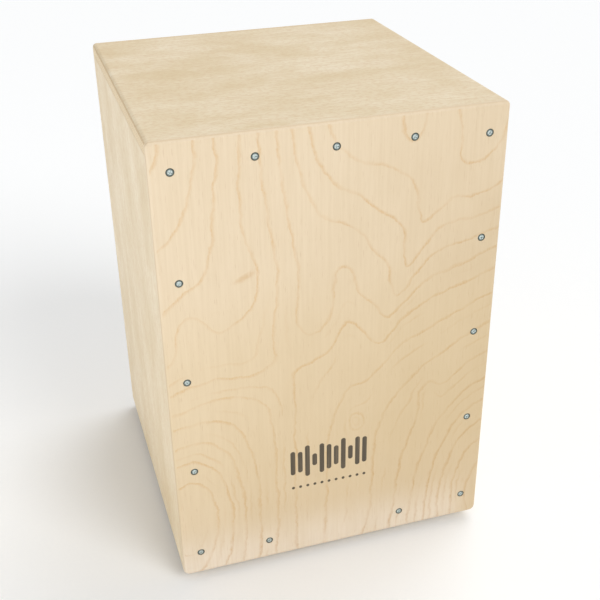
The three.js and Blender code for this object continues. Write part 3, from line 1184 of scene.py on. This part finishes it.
    def solid(self, name: str) -> bpy.types.Object:
        """The shape as an object at the origin.

        Args:
            name: The object's name.

        Returns:
            The object.
        """
        data = bpy.data.meshes.new(name)
        self.mesh.to_mesh(data)
        made = bpy.data.objects.new(name, data)
        bpy.context.scene.collection.objects.link(made)
        return made


def is_sharp(edge: bmesh.types.BMEdge) -> bool:
    """Whether two faces meet at a corner in an edge."""
    return len(edge.link_faces) == 2 and edge.calc_face_angle() > math.radians(40)


class Body(Enum):
    """What a piece moves with."""

    BOX = "box"
    SNARE = "snare"


@dataclass
class Piece:
    """One named piece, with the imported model's nodes that it stands for."""

    name: str
    shape: Shape
    finish: Finish
    nodes: Sequence[str]
    body: Body = Body.BOX
    crease: float = 35.0

    def build(self) -> bpy.types.Object:
        """Makes the piece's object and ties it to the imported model.

        Returns:
            The object, at the origin.
        """
        made = self.shape.solid(self.name)
        made.data.polygons.foreach_set("use_smooth", [True] * len(made.data.polygons))
        made.data.set_sharp_from_angle(angle=math.radians(self.crease))
        made.data.materials.append(self.finish.material())
        weighted = made.modifiers.new("even_shading", "WEIGHTED_NORMAL")
        weighted.keep_sharp = True
        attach(made, self.body.value)
        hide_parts(*self.nodes)
        faces = len(made.data.polygons)
        LOG.info("%s: %d faces, %s, with %s", self.name, faces, self.finish.title, self.body.value)
        return made


class Assembly:
    """A group of pieces that are made together."""

    def pieces(self) -> Iterable[Piece]:
        """Shapes and dresses the group's pieces, one after another."""
        raise NotImplementedError


# ------------------------------------------------------------------------ directions and edges


POINTING_BACK = Matrix.Rotation(-math.pi / 2, 4, "X")
ALONG_X = Matrix.Rotation(math.pi / 2, 4, "Y")


def rod(radius: float, low: float, high: float) -> Sequence[tuple[float, float]]:
    """The profile of a plain rod."""
    return [(0, low), (radius, low), (radius, high), (0, high)]


def turned_to(side: int) -> Matrix:
    """Turns Z outward along X, to the left for -1 and to the right for 1."""
    return Matrix.Rotation(side * math.pi / 2, 4, "Y")


def runs_across(edge: bmesh.types.BMEdge) -> bool:
    """Whether an edge runs along X."""
    start, end = (vertex.co for vertex in edge.verts)
    return abs(start.x - end.x) > (start - end).length * 0.99


def at_depth(edge: bmesh.types.BMEdge, depth: float) -> bool:
    """Whether an edge lies at one place along Y."""
    return all(abs(vertex.co.y - depth) < NEAR for vertex in edge.verts)


def spans_depth(edge: bmesh.types.BMEdge) -> bool:
    """Whether an edge runs along Y."""
    start, end = (vertex.co for vertex in edge.verts)
    return abs(start.y - end.y) > (start - end).length * 0.99


# ------------------------------------------------------------------------ screws



@dataclass
class WoodScrew:
    """A wood screw drawn along Z, with the top of a flat head or the underside of a round one at nought."""

    head_radius: float
    head_depth: float
    shank_radius: float
    length: float
    point: float
    round_head: bool = False
    made: Optional[Shape] = None

    def shape(self, matrix: Matrix, turn: float) -> Shape:
        """One screw in its place.

        Args:
            matrix: Where it goes, pointing along the matrix's Z.
            turn: How far it was driven round, in radians.

        Returns:
            A shape of its own.
        """
        if self.made is None:
            head = Shape.turned(self.head(), 40).less(self.recess())
            head.marked_outward(self.head_radius)
            self.made = head.with_added([Shape.turned(self.shank(), 20), self.thread()])
        return self.made.copy().placed(matrix @ Matrix.Rotation(turn, 4, "Z"))

    def head(self) -> Sequence[tuple[float, float]]:
        """The head's profile.

        Returns:
            Its radii and heights.
        """
        radius, depth = self.head_radius, self.head_depth
        neck = self.shank_radius * 0.9
        if not self.round_head:
            lip = radius * 0.07
            return [(0, 0), (radius - lip, 0), (radius, lip), (radius, 2 * lip), (neck, depth), (0, depth)]
        dome = [math.radians(angle) for angle in range(0, 90, 9)]
        round_over = [(radius * math.sin(angle), -depth * (0.12 + 0.88 * math.cos(angle))) for angle in dome]
        return [*round_over, (radius, -depth * 0.12), (radius * 0.96, 0), (0, 0)]

    def recess(self) -> Shape:
        """What the driver's cross takes out of the head.

        Returns:
            The cutter.
        """
        top = -self.head_depth if self.round_head else 0.0
        reach, half, depth = self.head_radius * 0.54, self.head_radius * 0.12, self.head_depth * 0.62
        bar = Shape.block(Box(Vector((-reach, -half, top - MM)), Vector((reach, half, top + depth))))
        return bar.united(bar.copy().placed(Matrix.Rotation(math.pi / 2, 4, "Z")))

    def shank(self) -> Sequence[tuple[float, float]]:
        """The core's profile, from inside the head to the point.

        Returns:
            Its radii and heights.
        """
        start = 0.0 if self.round_head else self.head_depth * 0.7
        core = self.shank_radius * 0.72
        return [(0, start), (core, start), (core, self.length - self.point), (0, self.length)]

    def thread(self) -> Shape:
        """The thread's ridge, wound round the core.

        Returns:
            The ridge.
        """
        pitch = self.shank_radius * 0.85
        start = self.head_depth + pitch
        turns = (self.length - self.point - start) / pitch
        core, crest = self.shank_radius * 0.66, self.shank_radius
        section = [(core, 0.0), (core, pitch * 0.6), (crest, pitch * 0.36), (crest, pitch * 0.26)]
        return Shape.helix(section, pitch, turns, 16).placed(Matrix.Translation((0.0, 0.0, start)))


# ------------------------------------------------------------------------ front and back


@dataclass
class StrikingPlate(Assembly):
    """The front plate, rounded over, with its countersunk screws."""

    top_corner: float = 4 * MM
    bottom_corner: float = 6 * MM
    round_over: float = 3 * MM
    gap: float = 0.2 * MM
    screw: WoodScrew = field(
        default_factory=lambda: WoodScrew(3.3 * MM, 2.2 * MM, 1.6 * MM, 16 * MM, 3.5 * MM)
    )

    def pieces(self) -> Iterable[Piece]:
        """The plate and its screws.

        Returns:
            The plate, then each screw in the order of its number.
        """
        box = Box.of_node("front_plate")
        screws = sorted(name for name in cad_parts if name.startswith("front_plate_screw_"))
        places = [self.driven(node) for node in screws]
        holes = Shape().with_added(self.countersink().placed(place) for place in places)
        plate = face_plate(box, -1, self.top_corner, self.bottom_corner, self.round_over).less(holes)
        yield Piece("striking_plate", plate, FaceVeneer(box), ["front_plate"])
        chance = random.Random(7)
        for node, place in zip(screws, places):
            shape = self.screw.shape(place, chance.uniform(0, math.pi / 2))
            yield Piece(node.replace("front_plate", "plate"), shape, ZincPlate(), [node])

    def driven(self, node: str) -> Matrix:
        """Where a screw stands: its head's middle, pointing back."""
        box = Box.of_node(node)
        return Matrix.Translation((box.centre.x, box.low.y, box.centre.z)) @ POINTING_BACK

    def countersink(self) -> Shape:
        """The hollow that a screw's head fills, along Z.

        Returns:
            The cutter.
        """
        mouth, neck = self.screw.head_radius + self.gap, self.screw.shank_radius + self.gap
        depth = self.screw.head_depth + self.gap
        profile = [(0, -MM), (mouth, -MM), (mouth, 0.45 * MM), (neck, depth), (neck, 8 * MM), (0, 8 * MM)]
        return Shape.turned(profile, 40)


def face_plate(box: Box, facing: int, top_corner: float, bottom_corner: float, round_over: float) -> Shape:
    """A plate over the whole front or back of the box, rounded over on its outer side.

    Args:
        box: The plate's box.
        facing: -1 for the front and 1 for the back.
        top_corner: The radius of its two upper corners.
        bottom_corner: The radius of its two lower corners.
        round_over: The radius along its outer rim.

    Returns:
        The shape.
    """
    outer = box.low.y if facing < 0 else box.high.y

    def at_corner(edge: bmesh.types.BMEdge, height: float) -> bool:
        """Whether an edge runs from front to back at a height."""
        return all(abs(vertex.co.z - height) < NEAR for vertex in edge.verts) and spans_depth(edge)

    def on_rim(edge: bmesh.types.BMEdge) -> bool:
        """Whether an edge bounds the outer face."""
        return all(abs(vertex.co.y - outer) < NEAR for vertex in edge.verts)

    plate = Shape.block(box)
    plate.softened(top_corner, 8, lambda edge: at_corner(edge, box.high.z))
    plate.softened(bottom_corner, 8, lambda edge: at_corner(edge, box.low.z))
    return plate.softened(round_over, 6, on_rim)


@dataclass
class Panels(Assembly):
    """The top, the sides, the bottom and the back with its sound hole."""

    top_corner: float = 4 * MM
    bottom_corner: float = 6 * MM
    round_over: float = 3 * MM
    arris: float = 0.3 * MM
    hole_radius: float = 57.5 * MM
    hole_rise: float = 236 * MM
    hole_edge: float = 1.4 * MM

    def pieces(self) -> Iterable[Piece]:
        """The five panels.

        Returns:
            Each panel in turn.
        """
        yield self.panel("top_panel", "panel_top", Axis.Z, Axis.X, 0.4)
        yield self.panel("left_side_panel", "panel_left", Axis.X, Axis.Z, 0.15)
        yield self.panel("right_side_panel", "panel_right", Axis.X, Axis.Z, 0.15)
        yield self.panel("bottom_panel", "panel_bottom", Axis.Z, Axis.X, 0.2)
        yield self.back()

    def panel(self, node: str, name: str, thickness: Axis, grain: Axis, bleached: float) -> Piece:
        """A panel that runs from the front plate to the back panel.

        Args:
            node: The node that it stands for.
            name: The piece's name.
            thickness: The direction through it.
            grain: The direction of its face grain.
            bleached: How strong its pale patches are.

        Returns:
            The piece, rounded over where its long edges are the box's own.
        """
        box = Box.of_node(node)

        def along_box(edge: bmesh.types.BMEdge, top: bool) -> bool:
            """Whether an edge is one of the box's long upper or lower ones.

            Args:
                edge: The edge.
                top: Whether the upper edges are meant.

            Returns:
                True for such an edge.
            """
            height = box.high.z if top else box.low.z
            level = all(abs(vertex.co.z - height) < NEAR for vertex in edge.verts)
            outside = all(abs(abs(vertex.co.x) - HALF_WIDTH) < NEAR for vertex in edge.verts)
            return level and outside and spans_depth(edge)

        shape = Shape.block(box)
        if node == "top_panel":
            shape.softened(self.top_corner, 8, lambda edge: along_box(edge, True))
        elif thickness is Axis.X:
            shape.softened(self.bottom_corner, 8, lambda edge: along_box(edge, False))
        shape.softened(self.arris, 2, is_sharp)
        finish = Plywood(f"birch_plywood_{name}", box, thickness, grain, bleached=bleached)
        return Piece(name, shape, finish, [node])

    def back(self) -> Piece:
        """The back panel, rounded over outside and round its sound hole.

        Returns:
            The piece.
        """
        box = Box.of_node("back_panel")
        plate = face_plate(box, 1, self.top_corner, self.bottom_corner, self.round_over)
        reach, edge = self.hole_radius, self.hole_edge
        mouth = [math.radians(angle) for angle in range(0, 91, 15)]
        flare = [(reach + edge - edge * math.cos(turn), -edge + edge * math.sin(turn)) for turn in mouth]
        profile = [(0, -20 * MM), (reach, -20 * MM), *flare, (reach + edge, MM), (0, MM)]
        centre = Matrix.Translation((box.centre.x, box.high.y, self.hole_rise)) @ POINTING_BACK
        hole = Shape.turned(profile, 128).placed(centre)
        finish = Plywood("birch_plywood_panel_back", box, Axis.Y, Axis.Z, ply=1.0 * MM)
        return Piece("panel_back", plate.less(hole), finish, ["back_panel"])


@dataclass
class BattenFrames(Assembly):
    """The pine battens glued into the corners behind the front plate and before the back panel."""

    arris: float = 0.9 * MM

    def pieces(self) -> Iterable[Piece]:
        """The eight battens, each sawn from another part of the log.

        Returns:
            Each batten in turn.
        """
        cuts = list(Cut)
        for index, node in enumerate(sorted(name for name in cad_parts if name.endswith("_batten"))):
            box = Box.of_node(node)
            upright = box.size.z > box.size.x
            grain = Axis.Z if upright else Axis.X
            middle = (box.centre.x, box.centre.y) if upright else (box.centre.y, box.centre.z)
            where = node.removesuffix("_batten")
            finish = Timber(f"pine_{where}", "pine_batten", grain, middle, cuts[index % len(cuts)])
            shape = Shape.block(box).softened(self.arris, 3, is_sharp)
            yield Piece(f"batten_{where}", shape, finish, [node])


# ------------------------------------------------------------------------ feet


@dataclass
class Feet(Assembly):
    """Four rubber feet, each held by a washer and a round-headed screw in its well."""

    top_radius: float = 13 * MM
    bottom_radius: float = 11 * MM
    well_radius: float = 6.4 * MM
    well_depth: float = 4.6 * MM
    bore_radius: float = 2.4 * MM
    washer_radius: float = 5.8 * MM
    washer_bore: float = 2.2 * MM
    screw: WoodScrew = field(
        default_factory=lambda: WoodScrew(4 * MM, 2 * MM, 1.75 * MM, 12.4 * MM, 3 * MM, round_head=True)
    )

    def pieces(self) -> Iterable[Piece]:
        """Each foot, its washer and its screw.

        Returns:
            The three pieces of one foot after those of another.
        """
        chance = random.Random(11)
        for node in sorted(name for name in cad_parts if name.startswith("rubber_foot_")):
            where = node.removeprefix("rubber_foot_")
            kinds = ("rubber_foot", "foot_washer", "foot_screw")
            foot, washer, screw = (Box.of_node(f"{kind}_{where}") for kind in kinds)
            spot = Matrix.Translation((foot.centre.x, foot.centre.y, 0.0))
            yield Piece(f"foot_{where}", self.foot(foot.high.z).placed(spot), Rubber(), [node])
            ring = self.washer(washer.low.z, washer.high.z).placed(spot)
            yield Piece(f"washer_{where}", ring, ZincPlate(), [f"foot_washer_{where}"])
            seat = spot @ Matrix.Translation((0.0, 0.0, screw.low.z + self.screw.head_depth))
            driven = self.screw.shape(seat, chance.uniform(0, math.pi / 2))
            yield Piece(f"screw_of_foot_{where}", driven, ZincPlate(), [f"foot_screw_{where}"])

    def foot(self, top: float) -> Shape:
        """A tapered foot with a rounded sole, a groove near its top, and a well for the washer.

        Args:
            top: The height of the foot's upper face.

        Returns:
            The shape, about Z.
        """
        low, high = self.bottom_radius, self.top_radius
        sole = [math.radians(angle) for angle in range(-90, 1, 18)]
        rounding = MM
        rounded = [
            (low - rounding + rounding * math.cos(turn), rounding + rounding * math.sin(turn))
            for turn in sole
        ]
        groove = [
            (high - inset * MM, top - drop * MM) for inset, drop in ((0.5, 2.1), (0.9, 1.8), (0.4, 1.5))
        ]
        profile = [
            (self.bore_radius, self.well_depth),
            (self.well_radius - 0.3 * MM, self.well_depth),
            (self.well_radius, self.well_depth - 0.3 * MM),
            (self.well_radius, 0.4 * MM),
            (self.well_radius + 0.4 * MM, 0.0),
            *rounded,
            *groove,
            (high, top - 0.6 * MM),
            (high - 0.3 * MM, top),
            (self.bore_radius, top),
        ]
        return Shape.turned(profile, 64, ring=True)

    def washer(self, low: float, high: float) -> Shape:
        """A flat washer with its edges taken off.

        Args:
            low: The height of its lower face.
            high: The height of its upper face.

        Returns:
            The shape, about Z.
        """
        inner, outer, edge = self.washer_bore, self.washer_radius, 0.15 * MM
        profile = [
            (inner, low + edge),
            (inner + edge, low),
            (outer - edge, low),
            (outer, low + edge),
            (outer, high - edge),
            (outer - edge, high),
            (inner + edge, high),
            (inner, high - edge),
        ]
        return Shape.turned(profile, 48, ring=True)


# ------------------------------------------------------------------------ snare


BEECH = (paint(222, 176, 134), paint(190, 138, 96))


@dataclass
class Snare(Assembly):
    """The swivelling snare: cheeks, felts, dowels, bar, and two fans of coiled wires with their clamps."""

    dowel_radius: float = 4 * MM
    running_gap: float = 0.1 * MM
    felt_radius: float = 11 * MM
    cheek_chamfer: float = 7 * MM
    bar_edge: float = 1.5 * MM
    strands: int = 12
    strand_pitch: float = 6.4 * MM
    coil_radius: float = 0.7 * MM
    wire_radius: float = 0.2 * MM
    coil_pitch: float = 1.0 * MM
    strand_root: float = 3 * MM
    clamp_corner: float = 2.5 * MM
    end_plate_top: float = 8.6 * MM
    bead_rise: float = 5.7 * MM
    bead_size: Point = (2.1 * MM, 0.95 * MM, 2.6 * MM)
    socket_gap: float = 0.15 * MM
    socket_depth: float = 20.3 * MM
    screw: WoodScrew = field(
        default_factory=lambda: WoodScrew(3 * MM, 1.8 * MM, 1.4 * MM, 13 * MM, 2.5 * MM, round_head=True)
    )

    def pieces(self) -> Iterable[Piece]:
        """The bearings, and then everything that turns.

        Returns:
            Each piece in turn.
        """
        hub = self.hub()
        yield from self.bearings(hub)
        bar = Box.of_node("snare_bar", hub)
        sockets = Shape().with_added(self.socket(side, bar) for side in (-1, 1))
        shape = Shape.block(bar).softened(self.bar_edge, 4, runs_across).less(sockets)
        finish = Timber(
            "beech_bar", "beech", Axis.X, (0.0, 0.0), Cut.FLAT, *BEECH, ring=2.0 * MM, flecks=0.75
        )
        yield Piece("bar_of_snare", shape.placed(hub), self.standing(finish, hub), ["snare_bar"], Body.SNARE)
        chance = random.Random(5)
        for where in ("left", "right"):
            yield self.dowel(where, hub)
            yield self.wires(where, hub)
            yield self.clamp(where, hub)
            for index in (1, 2):
                node = f"clamp_screw_{where}_{index}"
                box = Box.of_node(node, hub)
                mouth = (box.centre.x, box.low.y + self.screw.head_depth, box.centre.z)
                seat = hub @ Matrix.Translation(mouth)
                driven = self.screw.shape(seat @ POINTING_BACK, chance.uniform(0, math.pi / 2))
                yield Piece(f"screw_of_clamp_{where}_{index}", driven, ZincPlate(), [node], Body.SNARE)

    def hub(self) -> Matrix:
        """Where the bar's own axes stand: X along the bar and Z along the wires, which lean on the plate.

        Returns:
            The placement.
        """
        axis = Box.of_node("left_pivot_dowel").centre
        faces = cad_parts["left_snare_clamp"].data.polygons
        front = max((face for face in faces if face.normal.y < -0.9), key=lambda face: face.area).normal
        lean = math.atan2(-front.z, -front.y)
        return Matrix.Translation((0.0, axis.y, axis.z)) @ Matrix.Rotation(lean, 4, "X")

    def standing(self, finish: Timber, hub: Matrix) -> Timber:
        """The finish with its rings about the bar's place in the model."""
        return replace(finish, middle=(hub.translation.y, hub.translation.z))

    def bearings(self, hub: Matrix) -> Iterable[Piece]:
        """The cheeks on the side panels and the felt rings between them and the bar.

        Args:
            hub: Where the bar's own axes stand.

        Returns:
            Each cheek and its felt ring.
        """
        for where in ("left", "right"):
            node = f"{where}_snare_cheek"
            box = Box.of_node(node)
            bore = Shape.turned(rod(self.dowel_radius + self.running_gap, -box.size.x, box.size.x), 64)
            spot = Matrix.Translation((box.centre.x, hub.translation.y, hub.translation.z)) @ ALONG_X
            shape = Shape.block(box)
            rear = box.high.y
            shape.softened(self.cheek_chamfer, 1, lambda edge: runs_across(edge) and at_depth(edge, rear))
            shape = shape.softened(0.5 * MM, 2, is_sharp).less(bore.placed(spot))
            finish = Plywood(f"birch_plywood_cheek_{where}", box, Axis.X, Axis.Z)
            yield Piece(f"cheek_{where}", shape, finish, [node])
            node = f"{where}_felt_washer"
            felt = Box.of_node(node)
            ring = self.felt(felt.size.x / 2).placed(
                Matrix.Translation((felt.centre.x, hub.translation.y, hub.translation.z)) @ ALONG_X
            )
            yield Piece(f"felt_{where}", ring, Felt(), [node])

    def felt(self, half: float) -> Shape:
        """A felt ring about Z with soft outer edges.

        Args:
            half: Half the ring's thickness.

        Returns:
            The shape.
        """
        inner, outer, edge = self.dowel_radius + 0.3 * MM, self.felt_radius, 0.6 * MM
        profile = [
            (inner, -half),
            (outer - edge, -half),
            (outer - edge * 0.3, -half + edge * 0.3),
            (outer, -half + edge),
            (outer, half - edge),
            (outer - edge * 0.3, half - edge * 0.3),
            (outer - edge, half),
            (inner, half),
        ]
        return Shape.turned(profile, 56, ring=True)

    def socket(self, side: int, bar: Box) -> Shape:
        """The hole for a dowel in an end of the bar."""
        hole = Shape.turned(rod(self.dowel_radius + self.socket_gap, -self.socket_depth, 5 * MM), 56)
        return hole.placed(Matrix.Translation((side * bar.high.x, 0.0, 0.0)) @ turned_to(side))

    def dowel(self, where: str, hub: Matrix) -> Piece:
        """A beech dowel that carries an end of the bar.

        Args:
            where: left or right.
            hub: Where the bar's own axes stand.

        Returns:
            The piece.
        """
        node = f"{where}_pivot_dowel"
        box = Box.of_node(node, hub)
        radius, half, edge = self.dowel_radius, box.size.x / 2, 0.5 * MM
        profile = [(0, -half), (radius - edge, -half), (radius, -half + edge)]
        profile += [(radius, half - edge), (radius - edge, half), (0, half)]
        shape = Shape.turned(profile, 56).placed(hub @ Matrix.Translation((box.centre.x, 0.0, 0.0)) @ ALONG_X)
        finish = Timber(f"beech_dowel_{where}", "beech", Axis.X, (0.0, 0.0), Cut.QUARTER, *BEECH, flecks=0.6)
        return Piece(f"dowel_{where}", shape, self.standing(finish, hub), [node], Body.SNARE)

    def wires(self, where: str, hub: Matrix) -> Piece:
        """One fan: its end plate, its coiled strands and the solder between them.

        Args:
            where: left or right.
            hub: Where the bar's own axes stand.

        Returns:
            The piece.
        """
        node = f"{where}_snare_wires"
        box = Box.of_node(node, hub)
        face = box.low.y + self.coil_radius * 1.5
        low = Vector((box.low.x, face, box.low.z))
        plate = Box(low, Vector((box.high.x, box.high.y, self.end_plate_top)))
        strand = self.strand(box.high.z - self.strand_root)
        first = box.centre.x - (self.strands - 1) / 2 * self.strand_pitch
        depth = box.low.y + self.coil_radius
        added = []
        for index in range(self.strands):
            x = first + index * self.strand_pitch
            added.append(strand.copy().placed(Matrix.Translation((x, depth, self.strand_root))))
            added.append(self.bead().placed(Matrix.Translation((x, face, self.bead_rise))))
        shape = Shape.block(plate).softened(0.2 * MM, 2, is_sharp).with_added(added).placed(hub)
        solder = Box.of_node(f"{where}_snare_clamp")
        return Piece(f"wires_{where}", shape, SnareSteel(solder), [node], Body.SNARE, crease=60.0)

    def strand(self, length: float) -> Shape:
        """A coil of wire that climbs along Z.

        Args:
            length: Its length, both ends included.

        Returns:
            The shape, standing on nought.
        """
        middle, wire = self.coil_radius - self.wire_radius, self.wire_radius
        section = [(middle + wire * x, wire * z) for x, z in ((1, 0), (0, 1), (-1, 0), (0, -1))]
        turns = (length - 2 * wire) / self.coil_pitch
        return Shape.helix(section, self.coil_pitch, turns, 6).placed(Matrix.Translation((0.0, 0.0, wire)))

    def bead(self) -> Shape:
        """A flattened drop of solder.

        Returns:
            The shape, about its middle.
        """
        made = Shape()
        bmesh.ops.create_uvsphere(made.mesh, u_segments=10, v_segments=8, radius=1.0)
        return made.placed(Matrix.Diagonal((*self.bead_size, 1.0)))

    def clamp(self, where: str, hub: Matrix) -> Piece:
        """The plate that holds a fan on the bar, with rounded corners and holes for its screws.

        Args:
            where: left or right.
            hub: Where the bar's own axes stand.

        Returns:
            The piece.
        """
        node = f"{where}_snare_clamp"
        box = Box.of_node(node, hub)
        shape = Shape.block(box).softened(self.clamp_corner, 6, spans_depth).softened(0.3 * MM, 2, is_sharp)
        holes = Shape()
        for index in (1, 2):
            screw = Box.of_node(f"clamp_screw_{where}_{index}", hub)
            hole = Shape.turned(rod(self.screw.shank_radius + 0.3 * MM, -5 * MM, 5 * MM), 32)
            spot = Matrix.Translation((screw.centre.x, box.centre.y, screw.centre.z)) @ POINTING_BACK
            holes.with_added([hole.placed(spot)])
        return Piece(f"clamp_{where}", shape.less(holes).placed(hub), ZincPlate(), [node], Body.SNARE)


# ------------------------------------------------------------------------ studio


@dataclass(frozen=True)
class Lamp:
    """A soft rectangular lamp that points at the box."""

    name: str
    place: Point
    size: tuple[float, float]
    power: float
    aim: Point = (0.0, 0.0, 0.22)

    def data(self) -> bpy.types.Light:
        """The light that the lamp gives.

        Returns:
            A light of the area kind.
        """
        made = bpy.data.lights.new(self.name, "AREA")
        made.shape, (made.size, made.size_y) = "RECTANGLE", self.size
        made.energy = self.power
        return made

    def build(self) -> None:
        """Adds the lamp to the scene."""
        made = bpy.data.objects.new(self.name, self.data())
        made.location = self.place
        made.rotation_euler = (Vector(self.place) - Vector(self.aim)).to_track_quat("Z", "Y").to_euler()
        bpy.context.scene.collection.objects.link(made)


@dataclass(frozen=True)
class DistantLamp(Lamp):
    """A lamp so far away that it lights the whole floor alike, as wide as the angle given in degrees."""

    def data(self) -> bpy.types.Light:
        """The light that the lamp gives.

        Returns:
            A light of the sun kind.
        """
        made = bpy.data.lights.new(self.name, "SUN")
        made.angle, made.energy = math.radians(self.size[0]), self.power
        return made


@dataclass(frozen=True)
class Studio:
    """A white floor, soft lamps and the camera."""

    lamps: tuple[Lamp, ...] = (
        DistantLamp("key", (0.6, -1.1, 1.15), (32.0, 32.0), 1.2),
        DistantLamp("rear_key", (0.8, 0.6, 1.5), (44.0, 44.0), 0.95),
        Lamp("front_fill", (-0.8, -1.7, 1.0), (0.9, 0.9), 1.4),
        Lamp("side_fill", (-1.3, -0.4, 0.1), (0.9, 0.2), 3.6, aim=(-0.15, 0.0, 0.02)),
    )
    sky: float = 0.53
    floor_half: float = 8.0
    camera_place: Point = (-0.2446, -0.8509, 0.6846)
    camera_lens: float = 59.5
    yaw: float = -16.96
    pitch: float = -28.82
    roll: float = -0.92

    def build(self) -> None:
        """Builds the whole surroundings."""
        self.floor()
        for lamp in self.lamps:
            lamp.build()
        self.surroundings()
        self.camera()
        bpy.context.scene.view_settings.view_transform = "Standard"

    def floor(self) -> None:
        """Lays the paper under the feet."""
        shape = Shape()
        bmesh.ops.create_grid(shape.mesh, x_segments=2, y_segments=2, size=self.floor_half)
        made = shape.solid("studio_floor")
        made.data.materials.append(StudioFloor().material())
        made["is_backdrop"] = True

    def surroundings(self) -> None:
        """Lights everything a little from all round."""
        world = bpy.data.worlds.new("studio_sky")
        world.use_nodes = True
        world.node_tree.nodes.clear()
        graph = ShaderGraph(world.node_tree)
        sky = graph.node("ShaderNodeBackground", None, {"Color": (1.0, 1.0, 1.0, 1.0), "Strength": self.sky})
        graph.node("ShaderNodeOutputWorld", None, {"Surface": sky.outputs["Background"]})
        bpy.context.scene.world = world

    def camera(self) -> None:
        """Sets the camera up."""
        data = bpy.data.cameras.new("studio_camera")
        data.lens, data.sensor_width = self.camera_lens, 36.0
        made = bpy.data.objects.new("studio_camera", data)
        yaw = Matrix.Rotation(math.radians(self.yaw), 4, "Z")
        pitch = Matrix.Rotation(math.radians(90 + self.pitch), 4, "X")
        roll = Matrix.Rotation(math.radians(self.roll), 4, "Z")
        made.matrix_world = Matrix.Translation(self.camera_place) @ yaw @ pitch @ roll
        bpy.context.scene.collection.objects.link(made)
        bpy.context.scene.camera = made


def main() -> None:
    """Builds every assembly and the studio."""
    logging.basicConfig(level=logging.INFO, format="%(name)s: %(message)s")
    assemblies: Sequence[Assembly] = (StrikingPlate(), Panels(), BattenFrames(), Feet(), Snare())
    for assembly in assemblies:
        built = [piece.build() for piece in assembly.pieces()]
        LOG.info("%s: %d pieces", type(assembly).__name__, len(built))
    Studio().build()
    bpy.context.view_layer.update()
    sizes = {"cad": CAD_BOX, "visual": [list(corner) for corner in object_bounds()]}
    LOG.info("visual model from %s to %s", *sizes["visual"])


if __name__ == "__main__":
    main()
